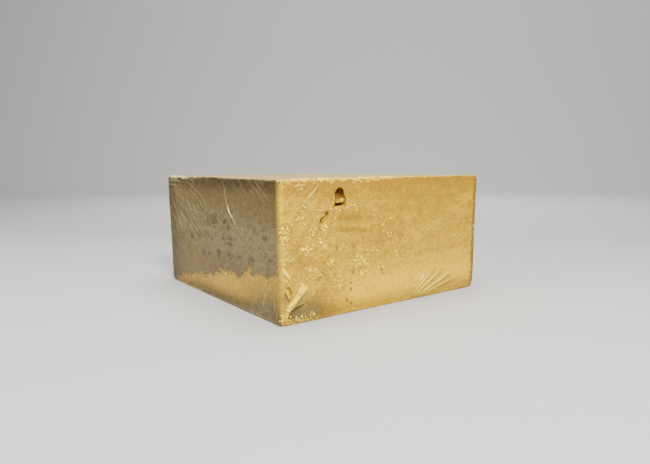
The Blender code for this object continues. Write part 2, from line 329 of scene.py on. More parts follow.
@dataclass
class Blank:
    """The plain quarter wheel, drawn up from a plan grid, that cheese and film are shaped from."""

    wheel: Wheel
    cell: float
    outset: float = 0.0
    point_steps: tuple[float, ...] = mm(0, 0.5, 1.0, 1.5, 2.0, 2.6)
    heel_steps: tuple[float, ...] = mm(0, 0.7, 1.5, 2.4, 3.4, 4.5, 5.7, 7.0)
    foot_steps: tuple[float, ...] = mm(0, 0.3, 0.7, 1.3, 2.1, 3.1, 4.3, 5.5)
    brow_steps: tuple[float, ...] = mm(0, 0.3, 0.7, 1.3, 2.1, 3.2, 4.5)
    rind_wander: float = 0.8 * MM
    cut_wander: float = 0.3 * MM

    def steps(self, length: float, near: Sequence[float], far: Sequence[float]) -> Array:
        """Give the grid's lines along a length: fine ones near both ends and even ones between.

        Args:
            length: the whole length.
            near: fine lines, measured from the start.
            far: fine lines, measured from the end.

        Returns:
            The lines in order.
        """
        start = np.array(near)
        end = length - np.array(far)[::-1]
        count = max(2, round((end[0] - start[-1]) / self.cell))
        middle = np.linspace(start[-1], end[0], count + 1)[1:-1]
        return np.concatenate([start, middle, end])

    def build(self, name: str) -> bpy.types.Object:
        """Make the blank as a closed mesh.

        Args:
            name: the object's name.

        Returns:
            The object, its mesh in the frame.
        """
        wheel = self.wheel
        plan = self.steps(wheel.radius, self.point_steps, self.heel_steps) / wheel.radius
        layers = self.steps(wheel.height, self.foot_steps, self.brow_steps)
        select_none()
        bpy.ops.mesh.primitive_grid_add(
            x_subdivisions=len(plan) - 1, y_subdivisions=len(plan) - 1, size=1.0, location=(0.5, 0.5, 0)
        )
        piece = bpy.context.active_object
        piece.name = name
        piece.data.name = name
        bpy.ops.object.transform_apply(location=True)
        bpy.ops.object.mode_set(mode="EDIT")
        bpy.ops.mesh.select_all(action="SELECT")
        for rise in np.diff(layers):
            bpy.ops.mesh.extrude_region_move(TRANSFORM_OT_translate={"value": (0, 0, float(rise))})
        bpy.ops.mesh.select_all(action="SELECT")
        bpy.ops.mesh.normals_make_consistent(inside=False)
        bpy.ops.object.mode_set(mode="OBJECT")
        points = read_points(piece)
        even = np.linspace(0.0, 1.0, len(plan))
        points[:, 0] = np.interp(points[:, 0], even, plan)
        points[:, 1] = np.interp(points[:, 1], even, plan)
        write_points(piece, self.shape(points))
        activate(piece)
        bpy.ops.object.mode_set(mode="EDIT")
        bpy.ops.mesh.select_all(action="SELECT")
        bpy.ops.mesh.normals_make_consistent(inside=False)
        bpy.ops.object.mode_set(mode="OBJECT")
        self.dip(piece)
        return piece

    def shape(self, grid: Array) -> Array:
        """Bend the unit grid to the quarter wheel with its rounded rims, edges and point.

        Args:
            grid: places with two shares of the plan and a height.

        Returns:
            Places in the frame, one row each.
        """
        wheel = self.wheel
        u, v, up = grid.T
        outward = np.maximum(u, v)
        safe = np.where(outward > 0, outward, 1.0)
        turn = np.where(u >= v, 0.5 * v / safe, 1 - 0.5 * u / safe)
        way, far = wheel.reach(turn)
        inset = self.rounding(up, wheel.rim_base) + self.rounding(wheel.height - up, wheel.rim_top)
        plan = way * ((far - inset) * outward)[:, None]
        run_left = plan @ wheel.left
        run_right = plan @ wheel.right
        run_left, run_right = self.round_point(run_left, run_right)
        edge = self.rounding(np.minimum(up, wheel.height - up), wheel.edge_rounding)
        run_left = run_left + edge * (1 - run_left / wheel.left_length)
        run_right = run_right + edge * (1 - run_right / wheel.right_length)
        points = run_left[:, None] * wheel.left + run_right[:, None] * wheel.right
        points[:, 2] = up
        return points + wheel.origin

    @staticmethod
    def rounding(gap: Array, radius: float) -> Array:
        """Give how far a wall steps back within a radius of its edge."""
        near = np.clip(radius - gap, 0.0, radius)
        return radius - np.sqrt(radius ** 2 - near ** 2)

    def round_point(self, a: Array, b: Array) -> tuple[Array, Array]:
        """Round the upright edge at the point.

        Args:
            a: runs along the left cut.
            b: runs along the right cut.

        Returns:
            The two runs after rounding.
        """
        radius = self.wheel.point_rounding

        def arc(run: Array) -> tuple[Array, Array]:
            """Give how far a place moves along its own cut and across it."""
            angle = math.pi / 4 * (1 - np.clip(run / radius, 0, 1))
            return radius - radius * np.sin(angle) - np.minimum(run, radius), radius - radius * np.cos(angle)

        longest = np.maximum(a, b)
        shortest = np.minimum(a, b)
        share = np.where(a + b > 0, b / np.maximum(a + b, 1e-12), 0.5)
        fade = np.clip(1 - shortest / radius, 0, 1) * (longest < radius)
        along, across = arc(longest)
        new_a = a + fade * ((1 - share) * along + share * across)
        new_b = b + fade * (share * along + (1 - share) * across)
        return new_a, new_b

    def dip(self, piece: bpy.types.Object) -> None:
        """Let the surfaces wander a little, leave the base flat, and set the skin out by the outset.

        Args:
            piece: the bent blank.
        """
        wheel = self.wheel
        points = read_points(piece)
        normals = read_normals(piece)
        _, _, gap = wheel.runs(points)
        flat = np.maximum(-(normals @ wheel.left), -(normals @ wheel.right)) > 0.8
        rind = ((gap < wheel.rim_base) | (points[:, 2] > wheel.height - 0.1 * MM)) & ~flat
        wander = np.where(rind, fractal(points, 34 * MM, 2), fractal(points, 26 * MM, 1))
        depth = np.where(rind, self.rind_wander, self.cut_wander) * np.clip(0.5 + 0.5 * wander, 0, 1)
        lifted = smooth(points[:, 2] / (3 * MM))
        points += normals * (self.outset - depth * lifted)[:, None]
        points[:, 2] = np.maximum(points[:, 2], 0.25 * MM - self.outset)
        write_points(piece, points)


class Desk:
    """Lays out the nodes of one material."""

    def __init__(self, name: str) -> None:
        """Start an empty material.

        Args:
            name: the material's name.
        """
        self.material = bpy.data.materials.new(name)
        self.material.use_nodes = True
        self.tree = self.material.node_tree
        self.tree.nodes.clear()
        self.out = self.tree.nodes.new("ShaderNodeOutputMaterial")
        self.object = self.tree.nodes.new("ShaderNodeTexCoord").outputs["Object"]

    def put(self, socket: bpy.types.NodeSocket, value: object) -> None:
        """Link a socket into an input, or set the input's own value.

        Args:
            socket: the input.
            value: a socket, a value, or None for the value it has.
        """
        if isinstance(value, bpy.types.NodeSocket):
            self.tree.links.new(value, socket)
        elif value is not None:
            socket.default_value = value

    def node(self, kind: str, inputs: dict[str, object] | None = None, **settings: object) -> bpy.types.Node:
        """Add a node with its settings and inputs.

        Args:
            kind: the node's type.
            inputs: sockets or values for its inputs, by name.
            settings: its own settings.

        Returns:
            The node.
        """
        made = self.tree.nodes.new(kind)
        for name, value in settings.items():
            setattr(made, name, value)
        for name, value in (inputs or {}).items():
            self.put(made.inputs[name], value)
        return made

    def painted(self, name: str) -> bpy.types.NodeSocket:
        """Read a number kept on the mesh."""
        return self.node("ShaderNodeAttribute", attribute_name=name, attribute_type="GEOMETRY").outputs["Fac"]

    def math(self, operation: str, a: object, b: object = None, c: object = None) -> bpy.types.NodeSocket:
        """Work out one number.

        Args:
            operation: Blender's name for it.
            a: first socket or number.
            b: second one, if it has one.
            c: third one, if it has one.

        Returns:
            The socket of the result.
        """
        made = self.tree.nodes.new("ShaderNodeMath")
        made.operation = operation
        for socket, value in zip(made.inputs, (a, b, c)):
            self.put(socket, value)
        return made.outputs[0]

    def plus(self, a: object, b: object) -> bpy.types.NodeSocket:
        """Add two numbers."""
        return self.math("ADD", a, b)

    def less(self, a: object, b: object) -> bpy.types.NodeSocket:
        """Take the second number from the first."""
        return self.math("SUBTRACT", a, b)

    def times(self, a: object, b: object) -> bpy.types.NodeSocket:
        """Multiply two numbers."""
        return self.math("MULTIPLY", a, b)

    def larger(self, a: object, b: object) -> bpy.types.NodeSocket:
        """Keep the larger of two numbers."""
        return self.math("MAXIMUM", a, b)

    def vector(self, operation: str, a: object, b: object = None, scale: object = None) -> bpy.types.Node:
        """Work out one vector.

        Args:
            operation: Blender's name for it.
            a: first socket or vector.
            b: second one, if it has one.
            scale: factor, for the operation that takes one.

        Returns:
            The node, as its result is a vector or a number.
        """
        made = self.tree.nodes.new("ShaderNodeVectorMath")
        made.operation = operation
        self.put(made.inputs[0], a)
        self.put(made.inputs[1], b)
        if scale is not None:
            self.put(made.inputs["Scale"], scale)
        return made

    def span(
        self, value: object, low: float, high: float, start: float = 0.0, end: float = 1.0, ease: bool = True
    ) -> bpy.types.NodeSocket:
        """Turn a value between low and high into one between start and end, held at both ends.

        Args:
            value: socket that is read.
            low: value at which the change starts.
            high: value at which it ends.
            start: result up to low.
            end: result from high on.
            ease: whether both ends are eased.

        Returns:
            The socket of the result.
        """
        made = self.node("ShaderNodeMapRange", interpolation_type="SMOOTHSTEP" if ease else "LINEAR")
        for name, number in (("From Min", low), ("From Max", high), ("To Min", start), ("To Max", end)):
            made.inputs[name].default_value = number
        self.put(made.inputs["Value"], value)
        return made.outputs[0]

    def noise(
        self, vector: object, wave: float, detail: float = 3.0, rough: float = 0.55, twist: float = 0.0
    ) -> bpy.types.NodeSocket:
        """Give uneven values from 0 to 1.

        Args:
            vector: places.
            wave: length of the waves.
            detail: how many finer waves are added.
            rough: how strong the finer ones are.
            twist: how much it is bent.

        Returns:
            The socket of the result.
        """
        made = self.node("ShaderNodeTexNoise", {
            "Vector": vector, "Scale": 1 / wave, "Detail": detail, "Roughness": rough, "Distortion": twist,
        })
        return made.outputs["Fac"]

    def cells(self, vector: object, wave: float, feature: str = "F1") -> bpy.types.NodeSocket:
        """Lay cells about as wide as wave, and give the distance to a middle or an edge."""
        made = self.node("ShaderNodeTexVoronoi", {"Vector": vector, "Scale": 1 / wave}, feature=feature)
        return made.outputs["Distance"]

    def mix(self, share: object, a: object, b: object) -> bpy.types.NodeSocket:
        """Blend two colours.

        Args:
            share: how much of the second.
            a: first colour.
            b: second colour.

        Returns:
            The socket of the result.
        """
        made = self.tree.nodes.new("ShaderNodeMix")
        made.data_type = "RGBA"
        self.put(made.inputs[0], share)
        for socket, value in ((made.inputs[6], a), (made.inputs[7], b)):
            self.put(socket, (*value, 1.0) if isinstance(value, tuple) and len(value) == 3 else value)
        return made.outputs[2]

    def stretched(
        self, vector: object, scale: Sequence[float], turn: Sequence[float] = (0, 0, 0)
    ) -> bpy.types.NodeSocket:
        """Turn and stretch the places that a pattern reads.

        Args:
            vector: places.
            scale: how many times longer the pattern gets in each direction.
            turn: rotation in radians.

        Returns:
            The socket of the result.
        """
        made = self.node("ShaderNodeMapping", {"Vector": vector}, vector_type="TEXTURE")
        made.inputs["Rotation"].default_value = turn
        made.inputs["Scale"].default_value = scale
        return made.outputs[0]

    def bump(self, height: object, distance: float, strength: float = 1.0) -> bpy.types.NodeSocket:
        """Give fine relief from a height."""
        made = self.node("ShaderNodeBump", {"Height": height, "Distance": distance, "Strength": strength})
        return made.outputs[0]

    def finish(self, shader: bpy.types.NodeSocket) -> bpy.types.Material:
        """Join the shader to the output and give the material."""
        self.tree.links.new(shader, self.out.inputs["Surface"])
        return self.material


@dataclass(frozen=True)
class WedgeSockets:
    """Numbers that the finishes read from a place on the wedge."""

    run_left: bpy.types.NodeSocket
    run_right: bpy.types.NodeSocket
    up: bpy.types.NodeSocket
    heel_gap: bpy.types.NodeSocket


def wedge_sockets(desk: Desk, wheel: Wheel) -> WedgeSockets:
    """Work out the runs along both cuts, the height and the gap to the heel's rind.

    Args:
        desk: where the nodes are laid out.
        wheel: plan and height.

    Returns:
        The sockets.
    """
    level = desk.vector("SUBTRACT", desk.object, tuple(wheel.origin)).outputs[0]
    run_left = desk.vector("DOT_PRODUCT", level, tuple(wheel.left)).outputs["Value"]
    run_right = desk.vector("DOT_PRODUCT", level, tuple(wheel.right)).outputs["Value"]
    parts = desk.node("ShaderNodeSeparateXYZ", {"Vector": level})
    up = parts.outputs["Z"]
    flat = desk.vector("MULTIPLY", level, (1.0, 1.0, 0.0)).outputs[0]
    spread = desk.vector("DISTANCE", flat, tuple(wheel.centre)).outputs["Value"]
    heel = desk.less(wheel.radius, spread)
    return WedgeSockets(run_left, run_right, up, heel)


@dataclass(frozen=True)
class PasteFinish:
    """The cut cheese: waxy gold, knitted of paler curd, with tan rind showing through at its edges, and
    painted light and painted shade in its colour.
    """

    gold: Colour = (0.455, 0.272, 0.003)
    pale: Colour = (0.88, 0.605, 0.012)
    cloud: Colour = (0.600, 0.380, 0.003)
    deep: Colour = (0.285, 0.155, 0.002)
    # painted light: the brighter gold blended in where the lit mark stands for more light
    painted_light: Colour = (0.86, 0.530, 0.001)
    hollow_shade: Colour = (0.185, 0.080, 0.004)
    # painted shade: the darkest tone, for gaps and hollows in shade
    dusk: Colour = (0.075, 0.050, 0.008)
    rind_tint_and_shade: Colour = (0.30, 0.150, 0.003)
    rind_line: Colour = (0.235, 0.100, 0.004)
    roughness: float = 0.55
    glow: float = 0.06

    def material(self, wheel: Wheel) -> bpy.types.Material:
        """Build the material.

        Args:
            wheel: plan and height.

        Returns:
            The material.
        """
        desk = Desk("cheese_paste")
        at = wedge_sockets(desk, wheel)
        wander = desk.times(desk.less(desk.noise(desk.object, 7 * MM), 0.5), 3.2 * MM)
        flecks = self.flecks(desk, desk.object)
        # painted shadow: the paste is darkened just below each fleck, as if shaded by it
        raised = desk.vector("ADD", desk.object, mm(0, 0, 0.75)).outputs[0]
        under = desk.less(self.flecks(desk, raised), flecks)
        colour = self.body_colour(desk)
        colour = desk.mix(desk.times(desk.larger(under, 0.0), 0.6), colour, self.deep)
        colour = desk.mix(desk.times(flecks, 0.85), colour, self.pale)
        # darker towards the top: partly the paste's tint by the rind, partly painted shade
        below_top = desk.less(wheel.height, at.up)
        tint = desk.span(desk.plus(below_top, wander), 1.0 * MM, 15.0 * MM, 0.74, 0.0)
        colour = desk.mix(tint, colour, self.rind_tint_and_shade)
        # darker and more orange towards the foot
        foot = desk.span(desk.plus(at.up, wander), 1.5 * MM, 10.0 * MM, 0.42, 0.0)
        colour = desk.mix(foot, colour, self.rind_tint_and_shade)
        line_gap = desk.plus(at.heel_gap, desk.times(wander, 0.4))
        colour = desk.mix(desk.span(line_gap, 0.5 * MM, 6.0 * MM, 0.50, 0.0), colour, self.rind_tint_and_shade)
        colour = desk.mix(desk.span(line_gap, 2.2 * MM, 4.0 * MM, 0.88, 0.0), colour, self.rind_line)
        # painted shade: the paste turns dark brown with depth inside eyes, cracks and hollows
        hollow = desk.span(desk.math("MINIMUM", at.run_left, at.run_right), 0.95 * MM, 2.7 * MM, 0.0, 0.95)
        colour = desk.mix(hollow, colour, self.hollow_shade)
        # painted shade: near black in the deepest gaps and hollows and by the foot near the point
        colour = desk.mix(desk.span(desk.painted("shade"), 1.0, 2.0, 0.0, 0.78), colour, self.dusk)
        fine = desk.noise(desk.object, 0.9 * MM, 4.0, 0.6)
        coarse = desk.noise(desk.object, 3.4 * MM, 4.0, 0.6, 0.5)
        height = desk.plus(desk.times(coarse, 0.7), desk.times(fine, 0.3))
        height = desk.plus(height, desk.times(flecks, 0.42))
        shader = desk.node("ShaderNodeBsdfPrincipled", {
            "Base Color": colour,
            "Roughness": self.roughness,
            "Specular IOR Level": 0.25,
            "Subsurface Weight": self.glow,
            "Subsurface Radius": (1.0, 0.6, 0.1),
            "Subsurface Scale": 1.6 * MM,
            "Normal": desk.bump(height, 1.5 * MM, 1.0),
        })
        return desk.finish(shader.outputs[0])

    def body_colour(self, desk: Desk) -> bpy.types.NodeSocket:
        """Mottle the gold: broad paler and deeper clouds, dull streaks and a fine grain, then painted light
        and painted shade as the mesh's marks say.

        Args:
            desk: where the nodes are laid out.

        Returns:
            The socket of the result.
        """
        broad = desk.span(desk.noise(desk.object, 38 * MM, 2.0), 0.35, 0.68)
        colour = desk.mix(desk.times(broad, 0.5), self.gold, self.cloud)
        patches = desk.span(desk.noise(desk.object, 8 * MM, 5.0, 0.6, 0.6), 0.47, 0.60)
        colour = desk.mix(desk.times(patches, 0.80), colour, self.cloud)
        dull = desk.span(desk.noise(desk.object, 5.0 * MM, 5.0, 0.62, 0.5), 0.50, 0.68)
        colour = desk.mix(desk.times(dull, 0.72), colour, self.deep)
        drawn_out = desk.stretched(desk.object, (9.0, 9.0, 1.0))
        layers = desk.span(desk.noise(drawn_out, 3.4 * MM, 3.0), 0.50, 0.68)
        colour = desk.mix(desk.times(layers, 0.30), colour, self.deep)
        # painted light: brighter gold where the lit mark says more light falls
        colour = desk.mix(desk.times(desk.painted("lit"), 0.85), colour, self.painted_light)
        # dull bands, and painted shade where less light falls
        colour = desk.mix(desk.times(desk.painted("shade"), 0.9), colour, self.deep)
        grain = desk.noise(desk.object, 1.4 * MM, 4.0, 0.65)
        colour = desk.mix(desk.span(grain, 0.34, 0.50, 0.52, 0.0), colour, self.deep)
        return desk.mix(desk.span(grain, 0.55, 0.68, 0.0, 0.42), colour, self.pale)

    def flecks(self, desk: Desk, place: bpy.types.NodeSocket) -> bpy.types.NodeSocket:
        """Give 1 on the pale flecks of broken curd, which lie thickest near the point.

        Args:
            desk: where the nodes are laid out.
            place: places that the pattern reads.

        Returns:
            The socket of the result.
        """
        weight = desk.painted("fleck")
        grain = desk.noise(place, 1.5 * MM, 3.0, 0.6, 0.7)
        solid = desk.span(desk.plus(grain, desk.times(weight, 0.095)), 0.655, 0.685)
        bent = desk.noise(place, 3.0 * MM, 3.0, 0.6, 0.9)
        arcs = desk.span(desk.math("ABSOLUTE", desk.less(bent, 0.5)), 0.024, 0.008)
        broken = desk.span(desk.noise(place, 2.6 * MM, 2.0), 0.52, 0.58)
        arcs = desk.times(desk.times(arcs, broken), desk.span(weight, 0.20, 0.90))
        return desk.larger(solid, arcs)


@dataclass(frozen=True)
class RindFinish:
    """The washed rind: beige to tan, blotched with orange brown, finely wrinkled."""

    beige: Colour = (0.44, 0.265, 0.065)
    tan: Colour = (0.35, 0.175, 0.028)
    orange: Colour = (0.33, 0.12, 0.010)
    bloom: Colour = (0.54, 0.41, 0.19)

    def material(self) -> bpy.types.Material:
        """Build the material.

        Returns:
            The material.
        """
        desk = Desk("cheese_rind")
        broad = desk.span(desk.noise(desk.object, 30 * MM, 4.0, 0.6), 0.35, 0.7)
        colour = desk.mix(broad, self.beige, self.tan)
        spots = desk.span(desk.noise(desk.object, 14 * MM, 5.0, 0.65, 0.6), 0.56, 0.72)
        colour = desk.mix(desk.times(spots, 0.7), colour, self.orange)
        bloom = desk.span(desk.noise(desk.object, 6 * MM, 5.0, 0.7, 0.3), 0.5, 0.74)
        colour = desk.mix(desk.times(bloom, 0.6), colour, self.bloom)
        speck = desk.span(desk.noise(desk.object, 1.6 * MM, 3.0, 0.7), 0.62, 0.74)
        colour = desk.mix(desk.times(speck, 0.45), colour, self.orange)
        wrinkles = desk.noise(desk.object, 2.4 * MM, 5.0, 0.65, 1.2)
        cloth = desk.cells(desk.object, 1.2 * MM)
        height = desk.plus(wrinkles, desk.times(cloth, 0.25))
        shader = desk.node("ShaderNodeBsdfPrincipled", {
            "Base Color": colour,
            "Roughness": 0.55,
            "Subsurface Weight": 0.05,
            "Subsurface Radius": (1.0, 0.5, 0.2),
            "Subsurface Scale": 2 * MM,
            "Normal": desk.bump(height, 0.5 * MM, 0.8),
        })
        return desk.finish(shader.outputs[0])


@dataclass(frozen=True)
class CurdFinish:
    """Loose curd: crumbs, flakes and flecks, paler than the paste they broke from."""

    name: str
    tone: Colour
    second: Colour
    roughness: float = 0.5

    def material(self) -> bpy.types.Material:
        """Build the material.

        Returns:
            The material.
        """
        desk = Desk(self.name)
        share = desk.span(desk.noise(desk.object, 2.4 * MM, 3.0), 0.35, 0.65)
        colour = desk.mix(share, self.tone, self.second)
        fine = desk.noise(desk.object, 0.6 * MM, 3.0, 0.6)
        shader = desk.node("ShaderNodeBsdfPrincipled", {
            "Base Color": colour,
            "Roughness": self.roughness,
            "Specular IOR Level": 0.3,
            "Subsurface Weight": 0.1,
            "Subsurface Radius": (1.0, 0.65, 0.15),
            "Subsurface Scale": 1.0 * MM,
            "Normal": desk.bump(fine, 0.15 * MM, 0.6),
        })
        return desk.finish(shader.outputs[0])


@dataclass(frozen=True)
class FilmFinish:
    """Cling film: clear and glossy, milky where it is creased or stands off the cheese, with painted
    highlights on its folds, stretch lines and edges, and painted shade beside folds and along a foot.
    """

    veil: Colour = (0.064, 0.0465, 0.0185)
    warm: Colour = (0.092, 0.054, 0.007)
    brown: Colour = (0.016, 0.008, 0.001)
    olive: Colour = (0.030, 0.021, 0.003)
    rim: Colour = (0.165, 0.135, 0.068)
    # painted highlight colours: yellow on lesser folds, near white on the strongest
    fold: Colour = (1.0, 0.74, 0.030)
    # haze colour on the right cut, also painted shade low by the point
    ash: Colour = (0.190, 0.155, 0.062)
    glint: Colour = (1.0, 0.88, 0.42)
    # painted shade colour for the dips beside folds
    dip: Colour = (0.24, 0.135, 0.006)
    veil_share: float = 0.82
    roughness: float = 0.10
    gloss: float = 0.45
    milk_shine: float = 0.08

    def material(self, wheel: Wheel) -> bpy.types.Material:
        """Build the material.

        Args:
            wheel: plan and height.

        Returns:
            The material.
        """
        desk = Desk("cling_film")
        at = wedge_sockets(desk, wheel)
        face = self.face_place(desk, at)
        colour, share = self.milk(desk, at, face)
        relief = self.relief(desk, face)
        gloss = desk.node("ShaderNodeBsdfGlossy", {
            "Color": (1, 1, 1, 1), "Roughness": self.roughness, "Normal": relief,
        })
        clear = desk.node("ShaderNodeBsdfTransparent", {"Color": (0.99, 0.99, 0.98, 1)})
        shine = desk.node("ShaderNodeFresnel", {"IOR": 1.36, "Normal": relief})
        film = desk.node("ShaderNodeMixShader", {"Fac": desk.times(shine.outputs[0], self.gloss)})
        desk.put(film.inputs[1], clear.outputs[0])
        desk.put(film.inputs[2], gloss.outputs[0])
        milk = desk.node("ShaderNodeBsdfPrincipled", {
            "Base Color": colour, "Roughness": 0.4, "Specular IOR Level": self.milk_shine, "Normal": relief,
        })
        whole = desk.node("ShaderNodeMixShader", {"Fac": share})
        desk.put(whole.inputs[1], film.outputs[0])
        desk.put(whole.inputs[2], milk.outputs[0])
        return desk.finish(whole.outputs[0])

    def face_place(self, desk: Desk, at: WedgeSockets) -> bpy.types.NodeSocket:
        """Give places laid flat on a cut: the run along it and the height."""
        run = desk.larger(at.run_left, at.run_right)
        return desk.node("ShaderNodeCombineXYZ", {"X": run, "Y": at.up}).outputs[0]

    def milk(
        self, desk: Desk, at: WedgeSockets, face: bpy.types.NodeSocket
    ) -> tuple[bpy.types.NodeSocket, bpy.types.NodeSocket]:
        """Give the colour and the share of what isn't clear in the film.

        Args:
            desk: where the nodes are laid out.
            at: runs, height and gap.
            face: places laid flat on a cut.

        Returns:
            The sockets of the colour and the share.
        """
        on_left = desk.span(at.run_right, 1.5 * MM, 0.2 * MM)
        veil = desk.times(self.above_ragged_line(desk, face), on_left)
        wide = desk.stretched(face, (1.8, 1.0, 1.0))
        mottle = desk.noise(wide, 4.2 * MM, 5.0, 0.62, 0.9)
        uneven = desk.span(mottle, 0.25, 0.75, -0.42, 0.42, ease=False)
        ragged = desk.plus(desk.painted("contact"), uneven)
        touching = desk.span(ragged, -0.02, 0.16)
        ring = desk.less(desk.span(ragged, -0.24, -0.02), touching)
        cloud = desk.noise(wide, 20 * MM, 4.0, 0.6)
        colour = desk.mix(desk.span(cloud, 0.35, 0.65, 0.0, 0.35), self.veil, self.warm)
        colour = desk.mix(desk.painted("tan"), colour, self.warm)
        colour = desk.mix(desk.span(at.run_left, 120 * MM, 150 * MM, 0.0, 0.72), colour, self.brown)
        colour = desk.mix(desk.painted("pale"), colour, self.rim)
        high = desk.plus(at.up, desk.times(desk.less(mottle, 0.5), 10 * MM))
        colour = desk.mix(desk.span(high, 65 * MM, 73.5 * MM, 0.0, 0.97), colour, self.brown)
        colour = desk.mix(desk.times(desk.painted("net"), 0.28), colour, self.rim)
        colour = desk.mix(desk.times(touching, 0.68), colour, self.olive)
        colour = desk.mix(desk.times(ring, 0.48), colour, self.rim)
        fine = desk.noise(wide, 1.5 * MM, 5.0, 0.7)
        colour = desk.mix(desk.span(fine, 0.30, 0.50, 0.55, 0.0), colour, self.olive)
        colour = desk.mix(desk.span(fine, 0.54, 0.70, 0.0, 0.45), colour, self.rim)
        colour = desk.mix(on_left, self.ash, colour)
        net = desk.times(self.net(desk, wide), desk.painted("net"))
        colour = desk.mix(desk.times(net, 0.75), colour, self.rim)
        level = desk.span(cloud, 0.3, 0.7, self.veil_share - 0.06, self.veil_share + 0.08)
        level = desk.times(level, desk.span(desk.painted("tan"), 0.0, 1.0, 1.0, 0.72))
        level = desk.times(level, desk.span(at.run_left, -0.8 * MM, 4.8 * MM))
        drawn = desk.noise(desk.stretched(face, (6.0, 1.0, 1.0), (0, 0, math.radians(125))), 3.0 * MM, 5.0)
        haze = desk.times(desk.painted("cloud"), desk.span(drawn, 0.30, 0.70, 0.75, 1.15))
        share = desk.larger(desk.times(veil, level), haze)
        share = desk.larger(share, desk.times(net, desk.times(on_left, 0.45)))
        # painted shade: the dips beside folds are darkened to the dip colour
        dark = desk.painted("valley_shade")
        colour = desk.mix(dark, colour, self.dip)
        share = desk.larger(share, desk.times(dark, 0.8))
        # painted highlight: folds, edges and stretch lines are painted pale yellow to near white as caught
        # light; creased film is milky too
        creased = desk.larger(desk.painted("crease"), self.streaks(desk, face))
        fold_highlight = desk.mix(desk.span(creased, 0.70, 1.0), self.fold, self.glint)
        fold_highlight = desk.mix(on_left, fold_highlight, self.glint)
        colour = desk.mix(creased, colour, fold_highlight)
        return colour, desk.larger(share, desk.times(creased, 0.9))

    @staticmethod
    def net(desk: Desk, wide: bpy.types.NodeSocket) -> bpy.types.NodeSocket:
        """Give 1 on a net of thin bent lines, where the film parts from the cheese.

        Args:
            desk: where the nodes are laid out.
            wide: places laid flat on a cut, drawn out sideways.

        Returns:
            The socket of the result.
        """
        coarse = desk.noise(wide, 4.0 * MM, 3.0, 0.6, 0.8)
        thin = desk.noise(wide, 2.0 * MM, 2.0, 0.6, 0.8)
        lines = desk.span(desk.math("ABSOLUTE", desk.less(coarse, 0.5)), 0.030, 0.008)
        more = desk.span(desk.math("ABSOLUTE", desk.less(thin, 0.52)), 0.040, 0.012)
        drift = desk.node("ShaderNodeTexNoise", {"Vector": wide, "Scale": 1 / (5 * MM), "Detail": 3.0})
        shift = drift.outputs["Color"]
        bent = desk.vector("ADD", wide, desk.vector("SCALE", shift, scale=5.5 * MM).outputs[0]).outputs[0]
        webs = desk.span(desk.cells(bent, 5.2 * MM, "DISTANCE_TO_EDGE"), 0.13, 0.02)
        fine = desk.larger(lines, desk.times(more, 0.7))
        return desk.larger(desk.times(fine, 0.8), webs)

    @staticmethod
    def streaks(desk: Desk, face: bpy.types.NodeSocket) -> bpy.types.NodeSocket:
        """Give the thin milky lines along which the film is drawn tight, painted bright as highlights.

        Args:
            desk: where the nodes are laid out.
            face: places laid flat on a cut.

        Returns:
            The socket of the result.
        """
        along = desk.stretched(face, (17.0, 0.8, 1.0), (0, 0, math.radians(37)))
        lines = desk.span(desk.noise(along, 1.0 * MM, 3.0, 0.5), 0.53, 0.70)
        return desk.times(lines, desk.painted("pull"))

    def above_ragged_line(self, desk: Desk, face: bpy.types.NodeSocket) -> bpy.types.NodeSocket:
        """Give 1 above the ragged lower edge of the veil and 0 below it.

        Args:
            desk: where the nodes are laid out.
            face: places laid flat on a cut.

        Returns:
            The socket of the result.
        """
        tufts = desk.noise(desk.stretched(face, (1.5, 1.2, 1.0), (0, 0, -0.35)), 3.6 * MM, 5.0, 0.64, 1.3)
        sway = desk.noise(face, 7 * MM, 2.0)
        jag = desk.times(desk.less(tufts, 0.5), 22 * MM)
        wave = desk.times(desk.less(sway, 0.5), 2 * MM)
        height = desk.plus(desk.painted("above"), desk.plus(jag, wave))
        return desk.span(height, -0.2 * MM, 0.35 * MM)

    def relief(self, desk: Desk, face: bpy.types.NodeSocket) -> bpy.types.NodeSocket:
        """Give the film's fine relief: stretch lines up and away from the point, and shallow lumps.

        Args:
            desk: where the nodes are laid out.
            face: places laid flat on a cut.

        Returns:
            The socket of the bent normal.
        """
        along = desk.stretched(face, (7.0, 1.0, 1.0), (0, 0, math.radians(42)))
        pull = desk.noise(along, 1.3 * MM, 3.0, 0.6, 0.3)
        lumps = desk.noise(desk.object, 6 * MM, 4.0, 0.55, 0.4)
        height = desk.plus(desk.times(pull, 0.5), lumps)
        return desk.bump(height, 0.6 * MM, 0.5)


@dataclass
class Lump:
    """An uneven rounded body on a side: a hole's cutter, or a crumb."""

    side: Side
    centre: tuple[float, ...]
    size: tuple[float, ...]
    tilt: float = 0.0
    rough: float = 0.2
    fineness: int = 5
    boxy: float = 1.0

    def build(self) -> bpy.types.Object:
        """Make it as an object of its own.

        Returns:
            The object, its mesh in the frame.
        """
        select_none()
        bpy.ops.mesh.primitive_ico_sphere_add(subdivisions=self.fineness, radius=1.0)
        piece = bpy.context.active_object
        ball = read_points(piece)
        ball = np.sign(ball) * np.abs(ball) ** self.boxy
        seed = sum(self.centre) * 900
        swell = 1 + self.rough * fractal(ball, 0.9, 4, seed)
        x, z, y = (ball * swell[:, None] * np.array(self.size)).T
        along = self.centre[0] + x * math.cos(self.tilt) - z * math.sin(self.tilt)
        up = self.centre[1] + x * math.sin(self.tilt) + z * math.cos(self.tilt)
        write_points(piece, WHEEL.place(self.side, along, up, self.centre[2] + y))
        turn_outward(piece)
        return piece


